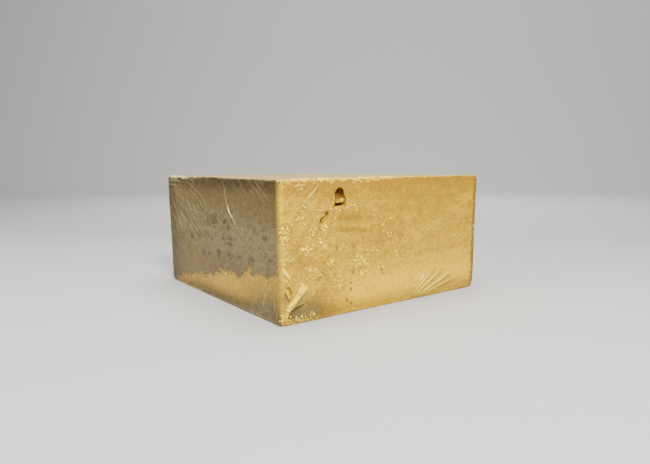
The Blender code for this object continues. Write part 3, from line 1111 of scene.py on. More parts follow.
def turn_outward(piece: bpy.types.Object) -> None:
    """Make a closed mesh's faces point out.

    Args:
        piece: the object.
    """
    activate(piece)
    bpy.ops.object.mode_set(mode="EDIT")
    bpy.ops.mesh.select_all(action="SELECT")
    bpy.ops.mesh.normals_make_consistent(inside=False)
    bpy.ops.object.mode_set(mode="OBJECT")
    points = read_points(piece)
    piece.data.calc_loop_triangles()
    corners = np.empty(len(piece.data.loop_triangles) * 3, int)
    piece.data.loop_triangles.foreach_get("vertices", corners)
    a, b, c = (points[corners.reshape(-1, 3)[:, k]] - points[0] for k in range(3))
    if np.einsum("ij,ij->i", a, np.cross(b, c)).sum() < 0:
        piece.data.flip_normals()


def join_with(body: bpy.types.Object, pieces: Sequence[bpy.types.Object], operation: str) -> None:
    """Cut pieces out of a body or fuse them with it, and drop them.

    Args:
        body: the object that stays.
        pieces: closed objects.
        operation: DIFFERENCE cuts and UNION fuses.
    """
    group = bpy.data.collections.new("joined")
    bpy.context.scene.collection.children.link(group)
    for piece in pieces:
        group.objects.link(piece)
    apply_modifier(
        body, "BOOLEAN", operand_type="COLLECTION", collection=group, operation=operation, solver="MANIFOLD"
    )
    for piece in pieces:
        bpy.data.objects.remove(piece, do_unlink=True)
    bpy.data.collections.remove(group)


def drop_slivers(piece: bpy.types.Object) -> None:
    """Take out the flat doubled faces that a join can leave loose.

    Args:
        piece: the object.
    """
    data = piece.data
    corners = np.empty(len(data.loops), int)
    data.loops.foreach_get("vertex_index", corners)
    starts = np.empty(len(data.polygons), int)
    data.polygons.foreach_get("loop_start", starts)
    faces_at = np.bincount(corners, minlength=len(data.vertices))
    activate(piece)
    bpy.ops.object.mode_set(mode="EDIT")
    bpy.ops.mesh.select_mode(type="FACE")
    bpy.ops.mesh.select_all(action="DESELECT")
    bpy.ops.object.mode_set(mode="OBJECT")
    data.polygons.foreach_set("select", np.maximum.reduceat(faces_at[corners], starts) <= 2)
    bpy.ops.object.mode_set(mode="EDIT")
    bpy.ops.mesh.delete(type="FACE")
    bpy.ops.object.mode_set(mode="OBJECT")


@dataclass
class Flake:
    """A torn flake of paste: an outline on a side, thick in the middle, with a ragged rim."""

    side: Side
    outline: tuple[Spot, ...]
    front: float
    back: float
    slope: float = 0.0
    lean: float = 0.0
    wild: float = 1.0
    voxel: float = 0.28

    def build(self) -> bpy.types.Object:
        """Make it as an object of its own.

        Returns:
            The object, its mesh in the frame.
        """
        outline = np.array(self.outline)
        middle = outline.mean(axis=0)
        select_none()
        bpy.ops.mesh.primitive_circle_add(vertices=len(outline), radius=1.0, fill_type="NGON")
        piece = bpy.context.active_object
        write_points(piece, np.column_stack([outline / MM, np.zeros(len(outline))]))
        bpy.ops.object.mode_set(mode="EDIT")
        bpy.ops.mesh.select_all(action="SELECT")
        thick = (self.back - self.front) / MM
        bpy.ops.mesh.extrude_region_move(TRANSFORM_OT_translate={"value": (0, 0, thick)})
        bpy.ops.mesh.select_all(action="SELECT")
        bpy.ops.mesh.normals_make_consistent(inside=False)
        bpy.ops.mesh.quads_convert_to_tris()
        bpy.ops.object.mode_set(mode="OBJECT")
        apply_modifier(piece, "REMESH", mode="VOXEL", voxel_size=self.voxel)
        points = read_points(piece) * MM
        wild = fractal(points, 1.6 * MM, 4, 3.0)
        fine = fractal(points, 0.7 * MM, 3, 8.0)
        spread = (points[:, :2] - middle) * (1 + 0.05 * wild)[:, None]
        drop = middle[1] + spread[:, 1]
        depth = self.front + points[:, 2] + self.slope * (middle[1] - drop) + self.lean * spread[:, 0]
        depth += self.wild * (0.22 * MM * wild + 0.08 * MM * fine)
        write_points(piece, WHEEL.place(self.side, middle[0] + spread[:, 0], drop, depth))
        turn_outward(piece)
        return piece


def route(*spots: Spot) -> tuple[Spot, ...]:
    """Give spots written in millimetres in metres."""
    return tuple(mm(*spot) for spot in spots)


@dataclass
class TornPoint:
    """Where the point of the wedge crumbled: a hollow with flakes and curls hanging in it."""

    hollows: tuple[Lump, ...] = (
        Lump(Side.RIGHT, mm(4.6, 15.2, -0.1), mm(4.0, 6.2, 1.5), -0.3, 0.4),
        Lump(Side.RIGHT, mm(12.0, 12.6, -0.2), mm(4.8, 5.4, 1.6), -0.6, 0.25),
        Lump(Side.RIGHT, mm(9.0, 4.9, -0.2), mm(5.8, 2.6, 1.5), 0.2, 0.4),
        Lump(Side.RIGHT, mm(0.3, 15.5, 0.9), mm(1.2, 4.6, 0.9), 0.0, 0.4, 4),
    )
    gaps: tuple[Lump, ...] = (
        Lump(Side.RIGHT, mm(11.2, 8.5, 0.9), mm(4.0, 0.95, 3.6), 0.26, 0.3),
        Lump(Side.RIGHT, mm(7.2, 6.7, 0.9), mm(2.3, 1.15, 3.2), 0.5, 0.25, 4),
        Lump(Side.RIGHT, mm(6.9, 16.6, 0.5), mm(0.6, 1.1, 1.5), -0.35, 0.3, 4),
        Lump(Side.RIGHT, mm(0.9, 12.3, 0.6), mm(1.5, 0.4, 1.0), 0.35, 0.3, 4),
    )
    shard: tuple[Spot, ...] = route(
        (12.2, 19.8), (13.4, 20.4), (14.4, 19.4), (15.6, 19.6), (17.2, 18.0), (15.2, 17.0), (12.6, 14.6),
        (10.8, 12.9), (8.6, 10.6), (6.6, 8.7), (4.9, 6.8), (4.2, 4.8), (3.2, 3.0), (0.7, 1.6),
        (-0.1, 3.0), (1.0, 4.6), (2.6, 6.9), (3.9, 9.4), (4.8, 11.2), (6.8, 13.2), (8.6, 15.2),
        (10.5, 17.2),
    )
    face: tuple[Spot, ...] = route(
        (14.4, 17.6), (15.6, 16.6), (15.3, 13.4), (15.1, 11.6), (14.2, 10.0), (12.0, 9.8), (9.9, 9.4),
        (7.9, 8.5), (6.2, 8.0), (7.2, 10.6), (10.2, 13.8),
    )
    curl: tuple[Spot, ...] = route(
        (1.7, 20.2), (3.2, 19.6), (4.8, 18.2), (6.1, 16.2), (6.0, 13.4), (4.9, 13.6), (4.0, 16.0),
        (2.8, 18.0),
    )
    flap: tuple[Spot, ...] = route(
        (0.8, 31.2), (2.4, 30.4), (4.4, 27.8), (6.2, 25.2), (5.6, 23.9), (4.2, 25.2), (2.2, 27.6),
        (1.0, 29.4),
    )

    def flakes(self) -> list[Flake]:
        """Say what hangs in the hollow.

        Returns:
            Flakes that are still to be built.
        """
        return [
            Flake(Side.RIGHT, self.shard, -0.50 * MM, 2.2 * MM),
            Flake(Side.RIGHT, self.face, 0.45 * MM, 1.9 * MM, slope=0.02, lean=0.02, wild=0.3),
            Flake(Side.RIGHT, self.curl, -0.15 * MM, 2.2 * MM),
            Flake(Side.RIGHT, self.flap, -0.40 * MM, 0.9 * MM),
        ]


@dataclass
class Eyes:
    """The holes and splits in the two cuts, the curd left standing in them, and the cracks under it."""

    holes: tuple[Lump, ...] = (
        Lump(Side.RIGHT, mm(38.3, 65.3, 0.4), mm(3.3, 4.7, 5.0), 0.0, 0.12, 5, 0.72),
        Lump(Side.RIGHT, mm(39.0, 62.9, 0.0), mm(4.1, 2.6, 3.0), -0.1, 0.25, 5, 0.85),
        Lump(Side.RIGHT, mm(26.8, 53.6, 0.6), mm(3.1, 1.35, 4.0), 0.72, 0.5),
        Lump(Side.RIGHT, mm(29.7, 56.4, 0.3), mm(1.1, 1.7, 2.4), -0.2, 0.4, 4),
        Lump(Side.RIGHT, mm(11.9, 57.8, 0.1), mm(1.2, 0.9, 1.4), 0.0, 0.3, 4),
        Lump(Side.RIGHT, mm(9.4, 55.2, 0.0), mm(2.6, 0.6, 0.8), 0.8, 0.3, 4),
        Lump(Side.RIGHT, mm(48.9, 66.2, 0.1), mm(0.6, 0.6, 0.9), 0.0, 0.3, 3),
        Lump(Side.RIGHT, mm(1.6, 46.5, 0.1), mm(1.2, 2.0, 0.8), 0.2, 0.4, 4),
        Lump(Side.RIGHT, mm(19.6, 47.0, 0.1), mm(0.6, 1.6, 0.6), -0.5, 0.4, 4),
        Lump(Side.RIGHT, mm(54.0, 25.0, 0.1), mm(3.4, 0.5, 0.6), 0.5, 0.4, 4),
        Lump(Side.LEFT, mm(57.6, 62.4, 0.1), mm(0.7, 0.6, 0.8), 0.0, 0.3, 3),
        Lump(Side.LEFT, mm(11.1, 45.0, 0.1), mm(0.5, 0.5, 0.8), 0.0, 0.3, 3),
    )
    shelves: tuple[Lump, ...] = (
        Lump(Side.RIGHT, mm(39.3, 63.2, 2.7), mm(3.8, 1.5, 2.1), 0.15, 0.5),
        Lump(Side.RIGHT, mm(38.4, 59.0, 1.0), mm(5.0, 1.0, 1.2), 0.10, 0.35),
        Lump(Side.RIGHT, mm(11.0, 55.0, 0.9), mm(2.4, 0.5, 1.1), 0.8, 0.3, 4),
    )
    cracks: tuple[Lump, ...] = (
        Lump(Side.RIGHT, mm(38.6, 61.1, 0.8), mm(3.7, 0.95, 3.4), 0.03, 0.45),
        Lump(Side.RIGHT, mm(34.4, 60.0, 0.2), mm(0.8, 1.5, 1.8), -0.5, 0.3, 4),
    )


@dataclass
class Cheese:
    """The cheese itself: paste on the two cuts, rind all round, eyes and the torn point."""

    cell: float = 1.6 * MM
    eyes: Eyes = field(default_factory=Eyes)
    torn: TornPoint = field(default_factory=TornPoint)
    flecked: tuple[Blot, ...] = (
        Blot(4.4, 48.5, 3.0, 4.0), Blot(19.7, 47.4, 2.4, 3.0, 0.0, 0.9), Blot(15.4, 38.6, 3.6, 3.4),
        Blot(27.0, 39.5, 3.2, 6.0, -0.6), Blot(5.8, 33.7, 4.0, 1.8, 0.0, 0.6),
        Blot(32.9, 29.5, 2.8, 3.4, 0.0, 0.9), Blot(54.2, 27.9, 6.0, 4.0, 0.3, 1.2),
        Blot(55.2, 21.3, 5.0, 4.0, 0.5, 0.9), Blot(37.8, 17.8, 3.2, 3.4, 0.0, 0.9),
        Blot(70.5, 49.5, 5.0, 4.0, 0.3, 0.7), Blot(74.7, 42.0, 3.0, 3.0, 0.0, 0.7),
        Blot(63.4, 33.1, 4.0, 2.4, 0.2, 0.8), Blot(49.0, 62.5, 2.6, 5.0, 0.2, 0.7),
        Blot(9.0, 54.0, 5.0, 4.0, 0.6, 0.8), Blot(21.4, 24.7, 4.0, 2.6, 0.0, 0.8),
        Blot(28.2, 49.0, 2.2, 3.4, 0.0, 1.0), Blot(15.0, 44.8, 3.0, 3.0, 0.0, 0.7),
        Blot(3.6, 42.0, 3.0, 4.0, 0.0, 0.8), Blot(83.4, 31.0, 4.0, 3.0, 0.0, 0.8),
        Blot(131.1, 37.1, 4.0, 3.6, 0.0, 0.6), Blot(111.8, 45.6, 3.6, 2.0, 0.6, 0.5),
        Blot(84.6, 52.5, 5.0, 3.0, 0.4, 0.5), Blot(26.3, 22.7, 3.0, 4.0, 0.0, 0.6),
        Blot(7.6, 11.4, 10.0, 1.7, 0.95, 1.3), Blot(8.6, 70.0, 6.0, 2.0, 0.0, 0.9),
        Blot(10.0, 62.0, 6.0, 3.0, 0.0, 0.5), Blot(11.0, 11.0, 10.0, 9.0, 0.0, -1.4),
    )
    # Soft dull bands in the paste, and painted shade: by the foot near the point, below the top edge and over
    # the upper far part of the cut
    bands_and_shade: tuple[Blot, ...] = (
        Blot(44, 53.5, 15, 2.0, -0.07, 1.2), Blot(46, 47.0, 14, 1.5, -0.09, 1.15),
        Blot(22, 31.5, 12, 1.2, 0.0, 0.5), Blot(40, 57, 20, 1.0, -0.05, 0.5),
        Blot(25, 10.0, 12, 6.0, 0.0, 0.5), Blot(27, 69, 22, 4.0, 0.0, 0.5),
        Blot(100, 62, 40, 12, 0.0, 0.5), Blot(19, 7.0, 8, 4.5, 0.15, 0.8), Blot(9, 4, 9, 4, 0.0, 1.2),
        Blot(24, 3, 16, 4.5, 0.0, 1.0), Blot(53, 2.6, 60, 1.2, 0.0, 0.35),
        Blot(72, 40, 16, 9, 0.3, 0.35),
    )

    def build(self) -> bpy.types.Object:
        """Make the cheese.

        Returns:
            The object, its mesh in the frame.
        """
        body = Blank(WHEEL, self.cell).build("cheese")
        subdivide_where(body, lambda spots: self.on_right(spots, 62 * MM, 0.0))
        subdivide_where(
            body, lambda spots: self.on_right(spots, 152 * MM, 69 * MM) & (spots[:, 2] < 75.4 * MM)
        )
        subdivide_where(body, self.near_detail)
        self.roughen(body)
        for shapes, operation in (
            ((*self.eyes.holes, *self.torn.hollows), "DIFFERENCE"),
            ((*self.eyes.shelves, *self.torn.flakes()), "UNION"),
            ((*self.eyes.cracks, *self.torn.gaps), "DIFFERENCE"),
        ):
            join_with(body, [shape.build() for shape in shapes], operation)
        drop_slivers(body)
        self.mark(body)
        self.dress(body)
        return body

    @staticmethod
    def on_right(spots: Array, reach: float, low: float) -> Array:
        """Tell which places lie on the right cut, within a run of the point."""
        run_left, run_right, _ = WHEEL.runs(spots)
        return (run_left < 1.0 * MM) & (run_right < reach) & (spots[:, 2] > low)

    def near_detail(self, spots: Array) -> Array:
        """Tell which places lie round the large eye or the torn point.

        Args:
            spots: places, one row each.

        Returns:
            A truth value for each.
        """
        run_left, run_right, _ = WHEEL.runs(spots)
        up = spots[:, 2]
        eye = (abs(run_right - 38 * MM) < 9 * MM) & (abs(up - 64 * MM) < 9 * MM)
        torn = (run_right < 22 * MM) & (up < 30 * MM)
        return (eye | torn) & (run_left < 2.0 * MM)

    def roughen(self, body: bpy.types.Object) -> None:
        """Give the cuts their curd relief and the rind its wrinkles.

        Args:
            body: the blank.
        """
        points = read_points(body)
        normals = read_normals(body)
        run_left, run_right, gap = WHEEL.runs(points)
        up = points[:, 2]
        rind = (gap < WHEEL.rim_base) | (up > WHEEL.height - 0.3 * MM)
        curd = fractal(points, 4.5 * MM, 4, 5.0)
        pitted = fractal(points, 2.0 * MM, 3, 11.0)
        crumbly = smooth((70 * MM - run_right) / (40 * MM)) * (run_left < 3 * MM)
        pits = 0.10 * MM * np.clip(pitted - 0.15, 0, 1)
        depth = 0.05 * MM * curd + crumbly * (0.10 * MM * np.abs(curd) + pits)
        brink = smooth((up - (WHEEL.height - 2.4 * MM)) / (1.6 * MM)) * (run_left < 2.5 * MM)
        depth = depth + brink * 0.55 * MM * np.clip(fractal(points, 2.6 * MM, 3, 9.0) + 0.2, 0, 1)
        depth = np.where(rind, 0.16 * MM * fractal(points, 6 * MM, 4, 2.0), depth)
        points -= normals * (depth * smooth(up / (2 * MM)))[:, None]
        write_points(body, points)

    def mark(self, body: bpy.types.Object) -> None:
        """Keep on the mesh where the curd is flecked, where the paste has dull bands and painted shade, and
        where it gets painted light.

        Args:
            body: the cheese.
        """
        points = read_points(body)
        run_left, run_right, _ = WHEEL.runs(points)
        up = points[:, 2]
        on_right = smooth((5 * MM - run_left) / (2 * MM))
        fleck = sum(spot.soft(run_right, up) for spot in self.flecked)
        nearer = 0.14 + 0.30 * smooth((95 * MM - run_right) / (70 * MM))
        fleck += nearer * smooth((70 * MM - up) / (16 * MM))
        torn = smooth((24 * MM - run_right) / (2 * MM)) * smooth((33 * MM - up) / (2 * MM))
        proud = torn * smooth((-0.05 * MM - run_left) / (0.25 * MM))
        flaky = 2.1 + 1.2 * smooth((up - 6 * MM) / (8 * MM))
        paint(body, "fleck", np.clip(on_right * fleck, 0, 1.3) * (1 - proud) + flaky * proud)
        sunk = torn * smooth((run_left - 1.5 * MM) / (0.4 * MM))
        inside = torn * smooth((run_right - 0.6 * MM) / (0.6 * MM))
        hollow = 0.45 * smooth((run_left - 0.5 * MM) / (0.5 * MM))
        hollow = hollow + smooth((run_left - 1.6 * MM) / (0.4 * MM))
        # painted shade: the dull marks, the foot and the far end of the left cut, and the hollows of the torn
        # point
        shade = on_right * sum(band.soft(run_right, up) for band in self.bands_and_shade)
        on_left = smooth((3 * MM - run_right) / MM) * smooth((run_left - 3 * MM) / (3 * MM))
        foot = smooth((10 * MM - up) / (8 * MM)) * smooth((142 * MM - run_left) / (46 * MM))
        edge = smooth((run_left - 128 * MM) / (18 * MM))
        shade = shade + on_left * np.maximum(1.1 * foot, 0.8 * edge)
        shade = shade + 0.8 * sunk
        paint(body, "shade", np.clip((np.clip(shade, 0, 1.5) + inside * hollow) * (1 - proud), 0, 2))
        # painted light: the low right cut is brightened as by light thrown up from below, the left cut near
        # the rounded point and in a band above its foot
        glow = smooth((run_right - 26 * MM) / (22 * MM)) * np.exp(-(((up - 11 * MM) / (13 * MM)) ** 2))
        glow = on_right * np.clip(glow, 0, 1) * (1 - 0.35 * smooth((15 * MM - up) / (12 * MM)))
        corner = 0.5 * smooth((9 * MM - run_left) / (8 * MM)) * smooth((3 * MM - run_right) / MM)
        corner = corner * smooth((up - 16 * MM) / (16 * MM))
        band = on_left * np.exp(-(((up - 16 * MM) / (9 * MM)) ** 2))
        band = band * smooth((128 * MM - run_left) / (30 * MM))
        band = band * (0.6 + 0.4 * smooth((run_left - 6 * MM) / (14 * MM)))
        paint(body, "lit", np.maximum(np.maximum(glow, corner), 1.1 * band))

    def dress(self, body: bpy.types.Object) -> None:
        """Put paste on the cuts and rind on the rest.

        Args:
            body: the cheese.
        """
        data = body.data
        data.materials.clear()
        data.materials.append(PasteFinish().material(WHEEL))
        data.materials.append(RindFinish().material())
        count = len(data.polygons)
        middles = np.empty(count * 3)
        normals = np.empty(count * 3)
        data.polygons.foreach_get("center", middles)
        data.polygons.foreach_get("normal", normals)
        middles = middles.reshape(-1, 3)
        normals = normals.reshape(-1, 3)
        _, _, gap = WHEEL.runs(middles)
        level_out = np.maximum(-(normals @ WHEEL.left), -(normals @ WHEEL.right))
        edge = 0.9 * MM
        near_skin = (middles[:, 2] < edge) | (middles[:, 2] > WHEEL.height - edge) | (gap < edge)
        steep = np.abs(normals[:, 2]) > 0.75
        heel = (gap < 6 * MM) & (level_out < 0.5)
        rind = (steep & near_skin) | heel
        data.polygons.foreach_set("material_index", rind.astype(np.int32))
        activate(body)
        bpy.ops.object.shade_smooth_by_angle(angle=math.radians(50))


@dataclass
class Crumbs:
    """Crumbs held under the film and flecks of curd set in the cuts, in millimetres."""

    seed: int = 7
    fineness: int = 2
    variants: int = 7
    kept_faces: float = 0.5
    right_end: float = 151.0
    left_end: float = 147.0
    rim_place: float = 150.4
    thick_until: float = 76.0
    bare_from: float = 38.0
    bare_until: float = 104.0
    foot_end: float = 62.0
    moist_until: float = 24.0
    hanging: int = 8
    foot_flecks: int = 90
    rim_flecks: int = 80
    stray_flecks: int = 130
    tufts: tuple[Spot, ...] = (
        (2.0, 70.0), (6.5, 72.0), (12.0, 69.6), (14.6, 70.6), (21.0, 72.2), (33.0, 72.4), (47.0, 72.0),
        (58.0, 72.3), (66.0, 72.4),
    )
    clusters: tuple[tuple[float, ...], ...] = (
        (4.4, 48.5, 2.6, 4.0, 26), (19.7, 47.4, 2.0, 3.0, 18), (15.4, 38.6, 3.4, 3.0, 26),
        (27.0, 40.5, 2.0, 6.0, 26), (5.8, 33.7, 5.0, 2.0, 12), (32.9, 29.5, 2.2, 3.0, 18),
        (54.2, 27.9, 5.4, 3.4, 46), (55.2, 21.3, 5.0, 3.0, 22), (37.8, 17.8, 2.8, 3.0, 20),
        (70.5, 49.5, 5.0, 4.0, 14), (74.7, 42.0, 1.4, 1.4, 8), (63.4, 33.1, 4.0, 2.0, 14),
        (49.0, 62.5, 2.4, 5.0, 14), (9.0, 54.0, 5.0, 3.0, 16), (21.4, 24.7, 4.0, 2.2, 14),
        (28.2, 49.4, 1.6, 2.8, 20), (3.0, 26.0, 1.6, 7.0, 18), (2.0, 4.0, 1.8, 3.0, 8),
        (38.6, 59.0, 4.0, 0.8, 10), (83.4, 31.0, 3.0, 2.0, 8), (131.1, 37.1, 3.0, 3.0, 8),
        (14.0, 4.0, 7.0, 1.6, 18), (14.0, 20.4, 1.6, 0.8, 8),
    )
    grains: tuple[tuple[float, float, float], ...] = (
        (32.3, 40.0, 0.7), (35.8, 38.6, 0.9), (36.2, 36.6, 0.6), (27.7, 30.8, 0.9), (32.5, 26.2, 0.6),
        (26.4, 25.1, 0.6), (47.5, 23.6, 0.9), (47.9, 25.0, 0.5), (46.0, 17.4, 0.6), (46.5, 13.5, 0.7),
        (41.1, 15.2, 0.8), (42.9, 8.1, 0.9), (46.0, 6.3, 0.8), (69.2, 21.6, 0.9), (70.4, 19.0, 0.6),
        (28.1, 3.5, 0.8), (23.5, 16.0, 0.5), (4.0, 3.0, 0.6), (6.0, 7.0, 0.6), (75.0, 24.0, 0.4),
        (58.0, 12.0, 0.4), (88.0, 30.0, 0.35), (129.0, 2.3, 0.6), (62.0, 5.0, 0.5),
    )

    def build(self) -> bpy.types.Object:
        """Make all of them as one mesh.

        Returns:
            The object, its mesh in the frame.
        """
        draw = random.Random(self.seed)
        shapes = self.shapes()
        points: list[Array] = []
        faces: list[Array] = []
        kinds: list[Array] = []
        total = 0
        for side, along, up, depth, size, flat, kind in self.spots(draw):
            ball, skin = shapes[draw.randrange(self.variants)]
            turn = draw.uniform(0, math.tau)
            stretch = np.array([draw.uniform(0.7, 1.4), draw.uniform(0.6, 1.0), flat])
            x, z, y = (ball * stretch * size).T
            run = along + x * math.cos(turn) - z * math.sin(turn)
            rise = up + x * math.sin(turn) + z * math.cos(turn)
            spots = WHEEL.place(side, run, rise, depth + y)
            points.append(spots)
            faces.append((skin if side is Side.LEFT else skin[:, ::-1]) + total)
            kinds.append(np.full(len(skin), kind))
            total += len(spots)
        mesh = bpy.data.meshes.new("crumbs")
        mesh.from_pydata(np.concatenate(points).tolist(), [], np.concatenate(faces).tolist())
        mesh.polygons.foreach_set("material_index", np.concatenate(kinds).astype(np.int32))
        piece = bpy.data.objects.new("crumbs", mesh)
        bpy.context.scene.collection.objects.link(piece)
        mesh.materials.append(CurdFinish("curd_cream", (0.90, 0.67, 0.045), (0.84, 0.56, 0.015)).material())
        mesh.materials.append(CurdFinish("curd_gold", (0.70, 0.46, 0.010), (0.52, 0.30, 0.003)).material())
        mesh.materials.append(CurdFinish("rind_speck", (0.27, 0.132, 0.001), (0.36, 0.190, 0.001)).material())
        activate(piece)
        bpy.ops.object.shade_smooth()
        return piece

    def shapes(self) -> list[tuple[Array, Array]]:
        """Make the few crumb shapes that all the crumbs are copies of.

        Returns:
            Points and triangles of each shape.
        """
        made = []
        for number in range(self.variants):
            select_none()
            bpy.ops.mesh.primitive_ico_sphere_add(subdivisions=self.fineness, radius=1.0)
            ball = bpy.context.active_object
            points = read_points(ball)
            points *= (1 + 0.5 * fractal(points, 1.1, 3, 17.0 * number))[:, None]
            points[:, 1] += 0.30 * (number % 3) * (points[:, 0] ** 2 - 0.4)
            write_points(ball, points)
            apply_modifier(ball, "DECIMATE", ratio=self.kept_faces)
            points = read_points(ball)
            skin = np.array([tuple(face.vertices) for face in ball.data.polygons])
            made.append((points, skin))
            bpy.data.objects.remove(ball, do_unlink=True)
        return made

    def spots(self, draw: random.Random) -> list[tuple[Side, float, float, float, float, float, int]]:
        """Say where each crumb lies: side, run, height, depth, size, flatness and finish.

        Args:
            draw: gives the random numbers.

        Returns:
            One row for each crumb, its lengths in metres.
        """
        found: list[tuple[Side, float, float, float, float, float, int]] = []

        def add(
            side: Side, along: float, up: float, depth: float, size: float, flat: float, kind: int
        ) -> None:
            """Note one crumb, given in millimetres."""
            found.append((side, along * MM, max(up, size + 0.35) * MM, depth * MM, size * MM, flat, kind))

        self.top_band(draw, add)
        self.base_line(draw, add)
        self.curds(draw, add)
        self.specks(draw, add)
        return found

    def top_band(self, draw: random.Random, add: Callable[..., None]) -> None:
        """Lay the ragged band of crumbs along the top of the cuts, with tufts that hang from it.

        Args:
            draw: gives the random numbers.
            add: notes one crumb.
        """
        top = WHEEL.height / MM
        along = 0.4
        while along < self.right_end:
            swell = 0.5 + 0.9 * noise.noise(Vector((along / 4.2, 3.1, 0.0)))
            thick = max(0.25, 0.35 + 1.0 * swell) * (1.0 if along < self.thick_until else 0.42)
            for _ in range(3 if along < self.thick_until else 2):
                drop = abs(draw.gauss(0, 0.75)) * thick
                add(Side.RIGHT, along + draw.uniform(-0.6, 0.6), top - 0.35 - drop, 0.30 + 0.15 * drop,
                    draw.uniform(0.40, 1.0) * min(thick, 0.9), 0.6, draw.choice((0, 0, 1, 1)))
            if draw.random() < 0.30:
                add(Side.RIGHT, along, top - 0.5 - draw.uniform(0, 0.6), 0.15,
                    draw.uniform(0.25, 0.5), 0.5, 2)
            along += draw.uniform(0.5, 1.0)
        for middle, low in self.tufts:
            for _ in range(self.hanging):
                share = draw.random()
                add(Side.RIGHT, draw.gauss(middle, 0.9), top - 0.8 - share * (top - 0.8 - low), 0.16,
                    draw.uniform(0.2, 0.5), 0.4, 0)
        along = 1.0
        while along < self.left_end:
            bare = self.bare_from < along < self.bare_until
            add(Side.LEFT, along, top - 0.5 - abs(draw.gauss(0, 0.35)), 0.25, draw.uniform(0.25, 0.6), 0.5,
                2 if bare else draw.choice((0, 1, 1, 2)))
            along += draw.uniform(0.6, 1.8) * (3.0 if bare else 1.0)

    def base_line(self, draw: random.Random, add: Callable[..., None]) -> None:
        """Lay the moist crumbs along the foot of the cuts.

        Args:
            draw: gives the random numbers.
            add: notes one crumb.
        """
        along = 1.0
        while along < self.foot_end:
            thick = 1.0 if along < self.moist_until else 0.45
            for _ in range(2 if along < self.moist_until else 1):
                add(Side.RIGHT, along + draw.uniform(-0.5, 0.5), 0.5 + draw.uniform(0, 2.6) * thick, 0.15,
                    draw.uniform(0.25, 0.70) * thick, 0.55, draw.choice((0, 1, 1)))
            along += draw.uniform(0.6, 1.5)
        for _ in range(self.foot_flecks):
            add(Side.LEFT, draw.uniform(1, self.left_end), 0.45, 0.2,
                draw.uniform(0.15, 0.4), 0.5, draw.choice((0, 1, 1)))

    def curds(self, draw: random.Random, add: Callable[..., None]) -> None:
        """Set flecks of broken curd in the right cut, thickest near the point.

        Args:
            draw: gives the random numbers.
            add: notes one crumb.
        """
        for along, up, wide, tall, count in self.clusters:
            for _ in range(round(0.65 * count)):
                add(Side.RIGHT, abs(draw.gauss(along, wide * 0.7)), draw.gauss(up, tall * 0.7), 0.10,
                    draw.uniform(0.24, 0.72), 0.9, draw.choice((0, 0, 0, 1)))
        for _ in range(self.rim_flecks):
            add(Side.RIGHT, draw.gauss(self.rim_place, 0.6), draw.uniform(1, 73), 0.12,
                draw.uniform(0.2, 0.45), 0.6, draw.choice((0, 1, 2, 2)))
        for _ in range(self.stray_flecks):
            add(Side.RIGHT, draw.uniform(3, 145), draw.uniform(4, 70), 0.12, draw.uniform(0.14, 0.36), 0.35,
                draw.choice((0, 1)))

    def specks(self, draw: random.Random, add: Callable[..., None]) -> None:
        """Set the grains of orange rind that the knife dragged over the right cut.

        Args:
            draw: gives the random numbers.
            add: notes one crumb.
        """
        for along, up, size in self.grains:
            for _ in range(4):
                add(Side.RIGHT, draw.gauss(along, 0.35), draw.gauss(up, 0.4), -0.08,
                    size * draw.uniform(0.45, 0.95), 0.45, 2)


@dataclass(frozen=True)
class Crease:
    """A fold of the film: a route on a side, how wide it is and how far it stands off."""

    side: Side
    route: tuple[Spot, ...]
    width: float
    height: float
    milk: float = 0.0


def ray(
    side: Side, start: Spot, end: Spot, width: float, height: float, bow: float = 0.0, milk: float = 0.0
) -> Crease:
    """Make a crease from start to end, both in millimetres, bowed sideways a little.

    Args:
        side: the surface.
        start: run and height of its start.
        end: run and height of its end.
        width: how wide it is, in millimetres.
        height: how far it stands off, in millimetres.
        bow: how far its middle lies aside, in millimetres.
        milk: how milky it is; below 0 it gives painted shade in the dip beside a fold instead.

    Returns:
        The crease, in metres.
    """
    first = Vector(start)
    last = Vector(end)
    way = last - first
    across = Vector((-way.y, way.x)).normalized()
    steps = 6
    shares = [k / steps for k in range(steps + 1)]
    line = [first + way * share + across * bow * math.sin(math.pi * share) for share in shares]
    return Crease(side, route(*(tuple(spot) for spot in line)), width * MM, height * MM, milk)


